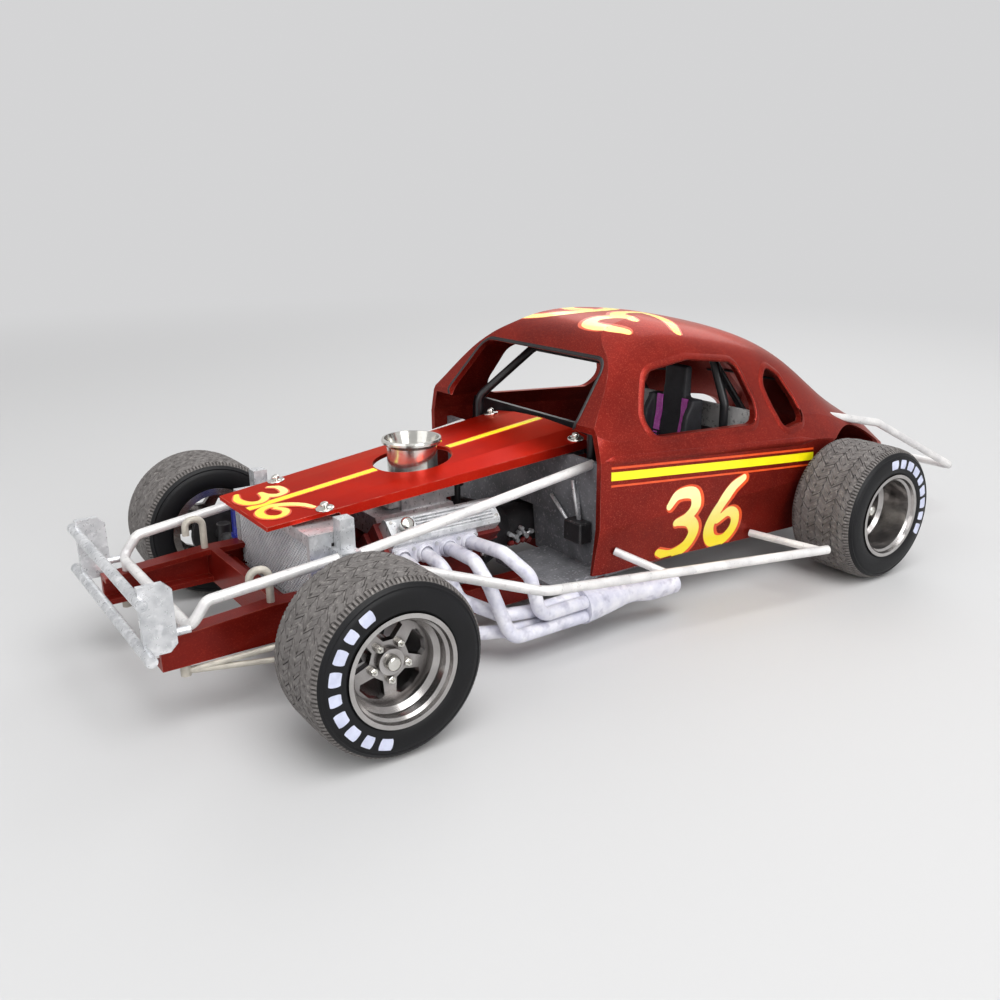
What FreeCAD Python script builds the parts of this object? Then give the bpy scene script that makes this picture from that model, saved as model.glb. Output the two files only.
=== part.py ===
import FreeCAD, Part
import math
import os
import re

import Sketcher

# Scale model of a 1930s coupe rebuilt as an open-wheel oval racer.
# Car frame while drawing: x forward from the front axle, y to the car's left, z up from the ground.
# Every sub-part's Placement then moves it so that the origin lies under the middle of the car.

os.makedirs("parts", exist_ok=True)
doc = FreeCAD.newDocument("OvalRacer")

SIZES = {
    # overall
    "wheel_base": 108.0,
    "front_overhang": 27.4,
    "cut_overrun": 2.0,
    "seat_gap": 0.3,
    # tyres
    "tyre_radius": 13.1,
    "tyre_width": 14.3,
    "shoulder_drop": 1.1,
    "bead_radius": 7.4,
    # wheels
    "lip_radius": 8.15,
    "lip_thick": 0.6,
    "rim_width": 14.2,
    "barrel_wall": 0.5,
    "step_radius": 6.2,
    "disc_thick": 1.1,
    "dish_front": 4.4,
    "dish_rear": 8.4,
    "cap_radius": 1.9,
    "cap_height": 0.8,
    "hub_radius": 2.3,
    "hub_length": 3.0,
    "stub_radius": 1.0,
    "bearing_gap": 0.05,
    "bore_skin": 0.3,
    "track_front": 71.0,
    "track_rear": 69.0,
    # frame rails
    "rail_outer": 16.2,
    "rail_inner": 13.0,
    "rail_web": 1.0,
    "rail_flange": 0.9,
    "rail_low": 4.4,
    "rail_high": 9.0,
    "rail_nose_x": 24.0,
    "rail_nose_top": 13.9,
    "rail_nose_low": 9.3,
    "rail_front_top": 15.2,
    "rail_drop_x": 21.0,
    "rail_rise_x": 91.0,
    "rail_arch_x": 103.0,
    "rail_arch_low": 16.2,
    "rail_arch_top": 20.4,
    "rail_tail_x": 132.0,
    "rail_tail_low": 13.4,
    "rail_tail_top": 17.4,
    "cross_front_x": 6.4,
    "cross_front_step": 2.4,
    "cross_plate": 1.0,
    "engine_cross_x": 22.0,
    "cross_width": 4.0,
    "cross_thick": 1.6,
    "gear_cross_x": 57.0,
    "tank_cross_x": 119.5,
    # bumpers and tubes
    "tube_radius": 0.82,
    "bumper_low_z": 13.8,
    "bumper_low_half": 21.6,
    "bumper_top_z": 21.3,
    "bumper_top_half": 19.9,
    "plate_y": 17.6,
    "plate_thick": 1.1,
    "plate_depth": 4.6,
    "plate_rise": 1.9,
    "plate_corner": 1.1,
    "standoff_radius": 0.6,
    "hoop_x": 19.9,
    "hoop_z": 15.4,
    "hoop_half": 17.3,
    "hoop_bend_x": 17.2,
    "hoop_bend_z": 18.9,
    "hoop_back_half": 18.6,
    "hoop_back_z": 21.2,
    "hoop_bend": 1.7,
    "foot_radius": 0.9,
    # radiator
    "radiator_front": 0.6,
    "radiator_deep": 3.6,
    "radiator_half": 15.6,
    "radiator_base": 10.2,
    "radiator_top": 24.4,
    "tank_rim": 1.1,
    "core_recess": 0.8,
    "shelf_back": 6.4,
    "shelf_thick": 1.3,
    "post_x": 3.4,
    "post_size": 2.4,
    "post_y": 16.9,
    "post_top": 26.8,
    "arm_z": 20.6,
    "arm_thick": 1.5,
    "arm_out": 20.0,
    "rod_radius": 0.35,
    # hood
    "hood_front": 4.9,
    "hood_rear": 55.0,
    "hood_front_half": 10.2,
    "hood_rear_half": 14.9,
    "hood_front_z": 25.2,
    "hood_rear_z": 31.2,
    "hood_crown": 1.2,
    "hood_thick": 0.7,
    "hood_lip": 1.6,
    "lip_start": 6.7,
    "hood_hole": 7.0,
    # engine
    "engine_front": 13.0,
    "engine_rear": 37.0,
    "crank_z": 12.5,
    "block_foot_half": 5.0,
    "block_foot_z": 8.6,
    "deck_low_y": 10.8,
    "deck_low_z": 15.0,
    "deck_high_y": 6.4,
    "deck_high_z": 19.4,
    "head_rise": 2.1,
    "head_inset": 0.8,
    "cover_rise": 2.0,
    "cover_inset": 0.45,
    "cover_end": 0.8,
    "pan_half": 4.2,
    "pan_deep": 2.3,
    "sump_deep": 1.5,
    "manifold_half": 5.4,
    "manifold_base": 17.2,
    "manifold_top": 21.0,
    "manifold_end": 3.4,
    "carb_length": 9.0,
    "carb_half": 3.7,
    "carb_height": 2.9,
    "bowl_length": 2.2,
    "bowl_height": 1.8,
    "stack_x": 26.5,
    "stack_top": 32.7,
    "stack_rim": 5.3,
    "stack_mouth": 4.8,
    "stack_outer": 4.4,
    "throat_radius": 3.6,
    "throat_length": 4.6,
    "rim_height": 1.4,
    "pulley_radius": 2.9,
    "pulley_thick": 1.0,
    "fan_radius": 5.6,
    "fan_thick": 0.6,
    "blade_width": 2.0,
    "pump_z": 17.6,
    "deck_pocket": 0.6,
    "distributor_x": 35.3,
    "distributor_radius": 1.5,
    "distributor_top": 25.6,
    "bell_radius": 6.6,
    "bell_back": 44.5,
    "box_radius": 3.9,
    "box_back": 66.0,
    "tail_radius": 1.9,
    "tail_back": 73.0,
    # exhaust headers
    "primary_radius": 1.15,
    "port_first_x": 16.2,
    "port_pitch": 4.33,
    "port_y": 12.1,
    "port_z": 16.6,
    "flange_thick": 0.5,
    "upper_run_z": 7.4,
    "lower_run_z": 4.9,
    "sweep_bend": 2.3,
    "collector_x": 43.0,
    "collector_length": 6.0,
    "collector_radius": 2.35,
    "collector_y": 27.4,
    "collector_z": 6.1,
    "outlet_x": 63.4,
    "outlet_y": 28.3,
    "outlet_z": 5.8,
    "outlet_radius": 1.9,
    "outlet_bore": 1.45,
    "outlet_bore_length": 5.0,
    # side bars
    "nerf_front_x": 9.0,
    "nerf_front_z": 12.6,
    "nerf_knee_x": 13.5,
    "nerf_knee_y": 18.6,
    "nerf_knee_z": 17.2,
    "nerf_turn_x": 30.0,
    "nerf_turn_y": 33.4,
    "nerf_turn_z": 14.0,
    "nerf_mid_x": 55.5,
    "nerf_mid_y": 34.4,
    "nerf_mid_z": 11.3,
    "nerf_rear_x": 91.6,
    "nerf_rear_y": 39.8,
    "nerf_rear_z": 9.3,
    "strut_front_x": 50.8,
    "strut_front_z": 14.0,
    "strut_rear_x": 86.0,
    "strut_rear_z": 9.9,
    "strut_radius": 0.7,
    "brace_rear_y": 20.4,
    "brace_rear_z": 28.3,
    # rear bumper
    "tail_reach": 22.38,
    "mount_inset": 21.0,
    "rear_mount_y": 20.0,
    "bend_inset": 6.0,
    "rear_bend_y": 22.6,
    "rear_low_z": 11.2,
    "rear_low_half": 25.0,
    "rear_stay_z": 15.4,
    # floor, firewall, bulkhead
    "floor_front_x": 38.8,
    "floor_back_x": 88.0,
    "floor_thick": 0.8,
    "floor_half": 24.5,
    "apron_inner": 7.6,
    "tunnel_half": 4.9,
    "tunnel_top": 17.0,
    "firewall_x": 50.0,
    "firewall_thick": 1.0,
    "ledge_deep": 4.6,
    "ledge_half": 13.2,
    "bulkhead_top": 33.0,
    # coupe body
    "body_front_x": 46.8,
    "body_half": 27.2,
    "body_height": 51.2,
    "body_length": 88.2,
    "body_wall": 1.1,
    "arch_radius": 17.2,
    "arch_x": 117.0,
    "arch_z": 9.0,
    "window_corner": 3.2,
    # cage
    "cage_radius": 0.85,
    "cage_half": 17.6,
    "cage_shoulder": 13.6,
    "cage_headroom": 7.8,
    "cage_gap": 1.6,
    "cage_front_x": 52.6,
    "cage_visor_x": 63.5,
    "cage_bend": 2.6,
    "door_bar_z": 20.0,
    # cockpit
    "seat_y": 8.0,
    "seat_half": 6.2,
    "seat_wall": 1.3,
    "seat_height": 30.9,
    "seat_length": 18.0,
    "seat_front_x": 66.4,
    "head_half": 2.9,
    "belt_y": 3.0,
    "belt_half": 0.65,
    "belt_thick": 0.3,
    "wheel_ring": 4.8,
    "wheel_grip": 0.45,
    "column_radius": 0.5,
    "column_x": 65.0,
    "column_z": 26.4,
    "column_foot_z": 18.6,
    "spoke_width": 0.8,
    "dash_x": 56.4,
    "dash_thick": 0.8,
    "dash_low": 27.4,
    "dash_high": 32.6,
    "gauge_radius": 1.2,
    "gauge_depth": 0.35,
    # front running gear
    "beam_radius": 1.1,
    "beam_z": 7.7,
    "beam_bend_y": 19.4,
    "king_y": 24.4,
    "king_radius": 1.25,
    "king_half": 2.5,
    "backing_radius": 5.2,
    "backing_thick": 0.9,
    "backing_y": 26.6,
    "batwing_y": 20.6,
    "batwing_half": 2.3,
    "batwing_thick": 0.8,
    "batwing_wide": 3.0,
    "hairpin_radius": 0.45,
    "hairpin_x": 20.6,
    "hairpin_y": 15.3,
    "hairpin_z": 8.2,
    "tie_x": 5.4,
    "tie_radius": 0.5,
    "tie_y": 22.0,
    "tie_z": 8.4,
    "lever_x": 6.9,
    "lever_radius": 2.0,
    "lever_top": 20.6,
    "coil_radius": 1.9,
    "coil_top": 19.6,
    "coil_y": 18.6,
    "coil_x": 1.6,
    # rear running gear
    "axle_radius": 1.7,
    "diff_radius": 5.0,
    "diff_half": 5.6,
    "rear_plate_y": 26.2,
    "shaft_radius": 1.1,
    "arm_radius": 0.6,
    "arm_front_x": 84.5,
    "arm_y": 22.6,
    "shock_bar_x": 113.4,
    "shock_radius": 1.1,
    "shock_y": 19.2,
    "cell_half": 8.6,
    "cell_low": 12.6,
    "cell_top": 21.0,
    "cell_corner": 1.0,
    "linkage_x": 48.6,
    "linkage_y": 18.6,
    "linkage_z": 15.4,
    "linkage_size": 2.4,
}

sheet = doc.addObject("Spreadsheet::Sheet", "Sizes")
for row, (alias, value) in enumerate(SIZES.items(), 1):
    sheet.set("A%d" % row, alias)
    sheet.set("B%d" % row, str(value))
    sheet.setAlias("B%d" % row, alias)
doc.recompute()

V = FreeCAD.Vector
NAME = re.compile(r"[a-z]+(?:_[a-z0-9]+)+")


def full(text):
    return NAME.sub(lambda found: "Sizes." + found.group(0), str(text))


def num(text):
    return float(sheet.evalExpression(full(text)))


def bind(item, prop, text):
    item.setExpression(prop, full(text))


def put(item, x="0", y="0", z="0"):
    bind(item, "Placement.Base.x", x)
    bind(item, "Placement.Base.y", y)
    bind(item, "Placement.Base.z", z)
    return item


# Places that follow from the sizes.
rear_overhang = "(body_front_x + body_length + tail_reach + tube_radius - wheel_base)"
shift_x = "(wheel_base + " + rear_overhang + " - front_overhang)/2"
rear_x = "(0 - wheel_base)"
axle_z = "tyre_radius"
rim_half = "rim_width/2"
bead_half = "(rim_width/2 - lip_thick)"
bumper_x = "(front_overhang - tube_radius)"
rear_bumper_x = "(0 - body_front_x - body_length - tail_reach)"
rear_mount_x = "(0 - body_front_x - body_length + mount_inset)"
rear_bend_x = "(0 - body_front_x - body_length + bend_inset)"
rear_mount_z = "body_height*0.5547"
rear_bend_z = "body_height*0.4922"
cage_top_z = "(body_height - cage_headroom)"
cage_knee_z = "body_height*0.664"
cage_main_x = "(0 - seat_front_x - seat_length - cage_gap)"
wall_share = "(hood_front + firewall_x)/(hood_front + hood_rear)"
hood_at_wall = "(hood_front_z + (hood_rear_z - hood_front_z)*%s)" % wall_share
floor_z = "rail_high"
floor_top = "(rail_high + floor_thick)"
plate_low = "(bumper_low_z - tube_radius)"
plate_high = "(bumper_top_z + plate_rise)"
web_in = "(rail_outer - rail_web)"

nodes = {}


def node(name, parts, x="0", y="0", z="0"):
    """Group finished solids as one named sub-part in the part's own frame."""
    item = doc.addObject("Part::Compound", name)
    item.Label = name
    item.Links = parts
    put(item, shift_x + " + " + x, y, z)
    nodes[name] = item
    return item


def box(name, low, size):
    item = doc.addObject("Part::Box", name)
    for prop, text in zip(("Length", "Width", "Height"), size):
        bind(item, prop, text)
    return put(item, *low)


TURNS = {
    "x": FreeCAD.Rotation(V(0, 1, 0), 90),
    "y": FreeCAD.Rotation(V(1, 0, 0), -90),
    "z": FreeCAD.Rotation(),
}


def rod(name, axis, radius, length, start):
    """A round bar along +x, +y or +z from its start."""
    item = doc.addObject("Part::Cylinder", name)
    item.Placement = FreeCAD.Placement(V(0, 0, 0), TURNS[axis])
    bind(item, "Radius", radius)
    bind(item, "Height", length)
    return put(item, *start)


def cut(name, base, *tools):
    item = doc.addObject("Part::Cut", name)
    item.Base = base
    if len(tools) == 1:
        item.Tool = tools[0]
    else:
        group = doc.addObject("Part::Compound", name + "Tools")
        group.Links = list(tools)
        item.Tool = group
    return item


def fuse(name, *parts):
    item = doc.addObject("Part::MultiFuse", name)
    item.Shapes = list(parts)
    return item


def common(name, first, second):
    item = doc.addObject("Part::MultiCommon", name)
    item.Shapes = [first, second]
    return item


def mirror(name, source):
    """The right-hand twin of a left-hand piece."""
    item = doc.addObject("Part::Mirroring", name)
    item.Source = source
    item.Normal = V(0, 1, 0)
    item.Base = V(0, 0, 0)
    return item


def group(name, *parts):
    item = doc.addObject("Part::Compound", name)
    item.Links = list(parts)
    return item


def solid(name, shape):
    item = doc.addObject("Part::Feature", name)
    item.Shape = shape
    return item


def point(place):
    return V(*[num(text) for text in place])


def corner_path(points, bends, closed=False):
    """Edges of straight runs joined by tangent arcs."""
    count = len(points)
    starts = []
    ends = []
    arcs = []
    for i in range(count):
        here = points[i]
        if not closed and i in (0, count - 1):
            starts.append(here)
            ends.append(here)
            arcs.append(None)
            continue
        before = (points[i - 1] - here).normalize()
        after = (points[(i + 1) % count] - here).normalize()
        turn = math.acos(max(-1.0, min(1.0, before.dot(after))))
        back = bends[i] / math.tan(turn / 2)
        limit = 0.48 * min((points[i - 1] - here).Length, (points[(i + 1) % count] - here).Length)
        back = min(back, limit)
        bend = back * math.tan(turn / 2)
        first = here + before * back
        last = here + after * back
        middle = (before + after).normalize()
        deep = bend / math.sin(turn / 2) - bend
        arcs.append(Part.Arc(first, here + middle * deep, last).toShape())
        starts.append(first)
        ends.append(last)
    edges = []
    for i in range(count):
        if arcs[i] is not None:
            edges.append(arcs[i])
        if i < count - 1 or closed:
            edges.append(Part.LineSegment(ends[i], starts[(i + 1) % count]).toShape())
    return edges


def tube_shape(points, radius, bend):
    """A round tube along straight runs and tangent arcs."""
    path = Part.Wire(corner_path(points, [bend] * len(points)))
    along = (points[1] - points[0]).normalize()
    ring = Part.Wire([Part.makeCircle(radius, points[0], along)])
    return path.makePipeShell([ring], True, False)


def tube(name, places, radius, bend):
    return solid(name, tube_shape([point(p) for p in places], num(radius), num(bend)))


def bar(name, first, last, radius):
    """A straight round bar between two places."""
    start = point(first)
    way = point(last) - start
    return solid(name, Part.makeCylinder(num(radius), way.Length, start, way))


def plane_of(body, role):
    return [item for item in body.Origin.OriginFeatures if item.Role == role][0]


def outline(body, name, role, places):
    """A closed outline on an origin plane, every corner held by two bound dimensions."""
    sketch = body.newObject("Sketcher::SketchObject", name)
    sketch.AttachmentSupport = [(plane_of(body, role), "")]
    sketch.MapMode = "FlatFace"
    corners = [V(num(a), num(b), 0) for a, b in places]
    lines = []
    for i, start in enumerate(corners):
        end = corners[(i + 1) % len(corners)]
        lines.append(sketch.addGeometry(Part.LineSegment(start, end), False))
    for i, line in enumerate(lines):
        sketch.addConstraint(Sketcher.Constraint("Coincident", line, 2, lines[(i + 1) % len(lines)], 1))
    for line, (a, b), start in zip(lines, places, corners):
        for kind, text, value in (("DistanceX", a, start.x), ("DistanceY", b, start.y)):
            held = sketch.addConstraint(Sketcher.Constraint(kind, -1, 1, line, 1, value))
            sketch.setExpression("Constraints[%d]" % held, full(text))
    return sketch


def pad(body, name, role, places, depth, centred=True):
    item = body.newObject("PartDesign::Pad", name)
    item.Profile = outline(body, name + "Outline", role, places)
    bind(item, "Length", depth)
    if centred:
        item.SideType = "Symmetric"
    return item


def pocket(body, name, role, places, depth):
    item = body.newObject("PartDesign::Pocket", name)
    item.Profile = outline(body, name + "Outline", role, places)
    bind(item, "Length", depth)
    item.SideType = "Symmetric"
    return item


def spin(body, name, role, places, axis):
    item = body.newObject("PartDesign::Revolution", name)
    sketch = outline(body, name + "Outline", role, places)
    item.Profile = sketch
    item.ReferenceAxis = (sketch, [axis])
    item.Angle = 360
    return item


def new_body(name):
    return doc.addObject("PartDesign::Body", name)


# Tyres: a wide slick-shouldered ring that fills the rim between its two lips.
tyre_half_shares = ((0.35, 1.0), (0.08, 0.985))
tyre_body = new_body("TyreBody")
side = [("tyre_radius", "tyre_width/2*0.5"), ("tyre_radius - shoulder_drop/4", "tyre_width/2*0.82")]
side += [("tyre_radius - shoulder_drop", "tyre_width/2*0.95")]
for rise, half in tyre_half_shares:
    side.append(("lip_radius + (tyre_radius - lip_radius)*%s" % rise, "tyre_width/2*%s" % half))
side += [("lip_radius", bead_half), ("bead_radius", bead_half)]
around = [(a, b) for a, b in side] + [(a, "0 - (%s)" % b) for a, b in reversed(side)]
spin(tyre_body, "TyreRing", "XY_Plane", around, "V_Axis")


# Wheels: stepped deep-dish rim, slotted centre disc, hub with a blind bearing bore and cap.
slot_shares = ((-0.13, 0.47), (0.13, 0.47), (0.36, 0.74), (0.30, 0.86), (0.0, 0.93), (-0.30, 0.86), (-0.36, 0.74))


def wheel(name, dish):
    body = new_body(name)
    face = "(%s - %s)" % (rim_half, dish)
    back = "(%s - %s - disc_thick)" % (rim_half, dish)
    hub_end = "(%s - %s - disc_thick - hub_length)" % (rim_half, dish)
    places = [
        ("bead_radius", "0 - " + bead_half),
        ("lip_radius", "0 - " + bead_half),
        ("lip_radius", "0 - " + rim_half),
        ("bead_radius - barrel_wall", "0 - " + rim_half),
        ("bead_radius - barrel_wall", back),
        ("hub_radius", back),
        ("hub_radius", hub_end),
        ("stub_radius + bearing_gap", hub_end),
        ("stub_radius + bearing_gap", face + " + cap_height - bore_skin"),
        ("0", face + " + cap_height - bore_skin"),
        ("0", face + " + cap_height"),
        ("cap_radius", face + " + cap_height"),
        ("cap_radius", face),
        ("step_radius", face),
        ("step_radius", face + " + dish_front*0.3"),
        ("bead_radius - barrel_wall", face + " + dish_front*0.45"),
        ("bead_radius - barrel_wall", rim_half + " - lip_thick*1.6"),
        ("bead_radius - barrel_wall*0.2", rim_half + " - lip_thick"),
        ("bead_radius + barrel_wall*0.2", rim_half),
        ("lip_radius", rim_half),
        ("lip_radius", bead_half),
        ("bead_radius", bead_half),
    ]
    spin(body, name + "Rim", "XY_Plane", places, "V_Axis")
    window = [("step_radius*%s" % a, "step_radius*%s" % b) for a, b in slot_shares]
    slot = pocket(body, name + "Slot", "XZ_Plane", window, "rim_width*2")
    ring = body.newObject("PartDesign::PolarPattern", name + "Slots")
    ring.Originals = [slot]
    ring.Axis = (plane_of(body, "Y_Axis"), [""])
    ring.Angle = 360
    ring.Occurrences = 5
    body.Tip = ring
    return body


wheel_front = wheel("WheelFront", "dish_front")
wheel_rear = wheel("WheelRear", "dish_rear")
for end, source, track, x in (
    ("front", wheel_front, "track_front", "0"),
    ("rear", wheel_rear, "track_rear", rear_x),
):
    twin = mirror(source.Name + "Right", source)
    for side_name, rim, y in (("left", source, track + "/2"), ("right", twin, "0 - %s/2" % track)):
        node("wheel_%s_%s" % (end, side_name), [rim], x, y, axle_z)
        node("tyre_%s_%s" % (end, side_name), [tyre_body], x, y, axle_z)

# Frame: two channel rails, dropped behind the front axle and arched over the rear one.
top_line = [
    ("rail_nose_x", "rail_nose_top"),
    ("rail_nose_x*0.3", "rail_front_top"),
    ("0 - rail_drop_x*0.4", "rail_front_top"),
    ("0 - rail_drop_x*1.3", "rail_high"),
    ("0 - rail_rise_x", "rail_high"),
    ("0 - rail_arch_x", "rail_arch_top"),
    ("0 - rail_arch_x - (rail_tail_x - rail_arch_x)*0.35", "rail_arch_top"),
    ("0 - rail_tail_x", "rail_tail_top"),
]
low_line = [
    ("0 - rail_tail_x", "rail_tail_low"),
    ("0 - rail_arch_x - (rail_tail_x - rail_arch_x)*0.35", "rail_arch_low"),
    ("0 - rail_arch_x", "rail_arch_low"),
    ("0 - rail_rise_x + (rail_high - rail_low)*0.4", "rail_low"),
    ("0 - rail_drop_x*1.05", "rail_low"),
    ("0 - rail_drop_x*0.25", "rail_nose_low + 0"),
    ("rail_nose_x", "rail_nose_low"),
]
rail_solid = new_body("RailSolid")
pad(rail_solid, "RailBlank", "XZ_Plane", top_line + low_line, "rail_outer*2")
around_rails = [
    ("rail_nose_x + cut_overrun", "0 - cut_overrun"),
    ("rail_nose_x + cut_overrun", "rail_arch_top + cut_overrun"),
    ("0 - rail_tail_x - cut_overrun", "rail_arch_top + cut_overrun"),
    ("0 - rail_tail_x - cut_overrun", "0 - cut_overrun"),
]
pocket(rail_solid, "BlankGap", "XZ_Plane", around_rails, "rail_inner*2")
frame_body = new_body("FrameBody")
pad(frame_body, "Rails", "XZ_Plane", top_line + low_line, "rail_outer*2")
pocket(frame_body, "Between", "XZ_Plane", around_rails, "rail_inner*2")
inset = [(x, z + " - rail_flange") for x, z in top_line] + [(x, z + " + rail_flange") for x, z in low_line]
inset[0] = ("rail_nose_x + cut_overrun", "rail_nose_top - rail_flange")
inset[-1] = ("rail_nose_x + cut_overrun", "rail_nose_low + rail_flange")
inset[7] = ("0 - rail_tail_x - cut_overrun", "rail_tail_top - rail_flange")
inset[8] = ("0 - rail_tail_x - cut_overrun", "rail_tail_low + rail_flange")
pocket(frame_body, "Channels", "XZ_Plane", inset, web_in + "*2")
stepped = [
    ("cross_front_x", "radiator_base - cross_plate"),
    ("cross_front_x", "rail_front_top + 0"),
    ("cross_front_x - cross_front_step*0.6", "rail_front_top + 0"),
    ("cross_front_x - cross_front_step", "rail_front_top - cross_front_step"),
    ("cross_front_x - cross_front_step*1.8", "rail_front_top - cross_front_step"),
    ("cross_front_x - cross_front_step*2.1", "radiator_base + 0"),
    ("0 - radiator_deep", "radiator_base + 0"),
    ("0 - radiator_deep", "radiator_base - cross_plate"),
]
pad(frame_body, "FrontCross", "XZ_Plane", stepped, web_in + "*2")


def cross(name, front, low, high):
    places = [(front, low), (front, high), (front + " - cross_width", high), (front + " - cross_width", low)]
    pad(frame_body, name, "XZ_Plane", places, web_in + "*2")


cross("EngineCross", "0 - engine_cross_x", "rail_low + 0", "rail_low + cross_thick")
cross("GearCross", "0 - gear_cross_x", "rail_low + 0", "rail_low + cross_thick")
cross("TankCross", "0 - tank_cross_x + cross_width", "rail_arch_low - cross_thick", "rail_arch_low + rail_flange")
cross("TailCross", "0 - rail_tail_x + cross_width", "rail_tail_low + 0", "rail_tail_top + 0")
node("frame", [frame_body])

# Front bumper: two cross tubes held by two upright plates, with short stand-off tubes.
hoop = tube(
    "HoopTube",
    [
        ("0 - post_x", "hoop_back_half", "hoop_back_z"),
        ("hoop_bend_x", "hoop_half + 0", "hoop_bend_z"),
        ("hoop_x", "hoop_half + 0", "hoop_z"),
        ("hoop_x", "0 - hoop_half", "hoop_z"),
        ("hoop_bend_x", "0 - hoop_half", "hoop_bend_z"),
        ("0 - post_x", "0 - hoop_back_half", "hoop_back_z"),
    ],
    "tube_radius",
    "hoop_bend",
)
low_bar = rod("BumperLow", "y", "tube_radius", "bumper_low_half*2", (bumper_x, "0 - bumper_low_half", "bumper_low_z"))
top_bar = rod("BumperTop", "y", "tube_radius", "bumper_top_half*2", (bumper_x, "0 - bumper_top_half", "bumper_top_z"))
plates = new_body("BumperPlates")
back_edge = "(%s - plate_depth)" % bumper_x
plate_places = [
    (bumper_x, plate_low),
    (bumper_x, plate_high),
    (back_edge + " + plate_corner", plate_high),
    (back_edge, plate_high + " - plate_corner"),
    (back_edge, plate_low + " + plate_corner"),
    (back_edge + " + plate_corner", plate_low),
]
pad(plates, "PlateBlank", "XZ_Plane", plate_places, "(plate_y + plate_thick/2)*2")
gap_places = [
    (bumper_x + " + cut_overrun", plate_low + " - cut_overrun"),
    (bumper_x + " + cut_overrun", plate_high + " + cut_overrun"),
    (back_edge + " - cut_overrun", plate_high + " + cut_overrun"),
    (back_edge + " - cut_overrun", plate_low + " - cut_overrun"),
]
pocket(plates, "PlateGap", "XZ_Plane", gap_places, "(plate_y - plate_thick/2)*2")
stands = []
for sign, word in (("", "Left"), ("0 - ", "Right")):
    stands.append(
        rod(
            "StandOff" + word,
            "x",
            "standoff_radius",
            back_edge + " + plate_corner - hoop_x",
            ("hoop_x", sign + "hoop_half", "hoop_z"),
        )
    )
bumper = fuse("FrontBumperFused", low_bar, top_bar, plates, *stands)
node("front_bumper", [cut("FrontBumperSeated", bumper, hoop)])

# Radiator with top shelf, side posts and the arms that carry the hoop and the brace bars.
radiator_body = new_body("RadiatorBody")
back_x = "(radiator_front - radiator_deep)"
shell_places = [
    ("radiator_front", "radiator_base"),
    ("radiator_front", "radiator_top"),
    ("0 - shelf_back", "radiator_top"),
    ("0 - shelf_back", "radiator_top - shelf_thick"),
    (back_x, "radiator_top - shelf_thick*1.4"),
    (back_x, "radiator_base"),
]
pad(radiator_body, "RadiatorShell", "XZ_Plane", shell_places, "radiator_half*2")
recess_places = [
    ("radiator_front + cut_overrun", "radiator_base + tank_rim"),
    ("radiator_front + cut_overrun", "radiator_top - tank_rim*1.6"),
    ("radiator_front - core_recess", "radiator_top - tank_rim*1.6"),
    ("radiator_front - core_recess", "radiator_base + tank_rim"),
]
pocket(radiator_body, "CoreRecess", "XZ_Plane", recess_places, "(radiator_half - tank_rim)*2")
core = box(
    "CoreSlab",
    ("radiator_front - core_recess", "tank_rim - radiator_half", "radiator_base + tank_rim"),
    ("core_recess/2", "(radiator_half - tank_rim)*2", "radiator_top - radiator_base - tank_rim*2.6"),
)
node("radiator", [cut("RadiatorSeated", radiator_body, rail_solid)])
node("radiator_core", [cut("CoreSeated", core, rail_solid)])
brace = bar(
    "BraceBar",
    ("0 - post_x - post_size", "arm_out - tube_radius", "arm_z + arm_thick/2"),
    ("0 - firewall_x - firewall_thick/2", "brace_rear_y", "brace_rear_z"),
    "tube_radius",
)
post = box(
    "Post",
    ("0 - post_x - post_size", "post_y - post_size/2", "arm_z"),
    ("post_size", "post_size", "post_top - arm_z"),
)
arm = box(
    "Arm",
    ("0 - post_x - post_size", "radiator_half", "arm_z"),
    ("post_size + tube_radius", "arm_out - radiator_half", "arm_thick"),
)
bracket = cut("BracketClear", fuse("BracketFused", post, arm), hoop)
node("radiator_brackets", [bracket, mirror("BracketRight", bracket)])
feet = []
for sign, word in (("", "Left"), ("0 - ", "Right")):
    feet.append(
        rod(
            "Foot" + word,
            "z",
            "foot_radius",
            "hoop_z - rail_nose_low",
            ("hoop_x", sign + "(rail_inner + rail_outer)/2", "rail_nose_low"),
        )
    )
rail_mass = new_body("RailEnvelope")
pad(rail_mass, "RailEnvelopePad", "XZ_Plane", top_line + low_line, "(rail_outer + cut_overrun)*2")
foot_up = cut("FeetOnRails", group("FootPair", *feet), rail_mass)
node("front_hoop", [fuse("HoopFused", hoop, foot_up)])

# Hood: thin crowned panel, flat at the front, with side lips that start behind the front edge.
hood_share_row = (-1.0, -0.6, 0.0, 0.6, 1.0)


def hood_section(x, lip):
    along = (num("hood_front") - x) / num("hood_front + hood_rear")
    half = num("hood_front_half") + (num("hood_rear_half") - num("hood_front_half")) * along
    height = num("hood_front_z") + (num("hood_rear_z") - num("hood_front_z")) * along
    crown = num("hood_crown") * along
    thick = num("hood_thick")
    top = [V(x, half * s, height + crown * (1 - s * s)) for s in hood_share_row]
    ends = [V(x, half, height - lip), V(x, half - thick, height - lip)]
    under = [V(x, (half - thick) * s, height + crown * (1 - s * s) - thick) for s in reversed(hood_share_row)]
    close = [V(x, thick - half, height - lip), V(x, -half, height - lip)]
    corners = top + ends + under + close
    return Part.makePolygon(corners + corners[:1])


small_lip = num("hood_thick") * 1.02
hood_spans = [
    (num("hood_front"), small_lip),
    (num("0 - lip_start"), small_lip),
    (num("0 - lip_start*1.08"), num("hood_lip")),
    (num("0 - hood_rear"), num("hood_lip")),
]
hood_skin = solid("HoodSkin", Part.makeLoft([hood_section(x, lip) for x, lip in hood_spans], True, True))
hood_hole = rod("HoodHole", "z", "hood_hole", "body_height", ("0 - stack_x", "0", "0"))
node("hood_panel", [cut("HoodCut", hood_skin, hood_hole)])

# Engine: V8 block, heads, ribbed covers, pan, manifold, carburettor and intake stack.


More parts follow.
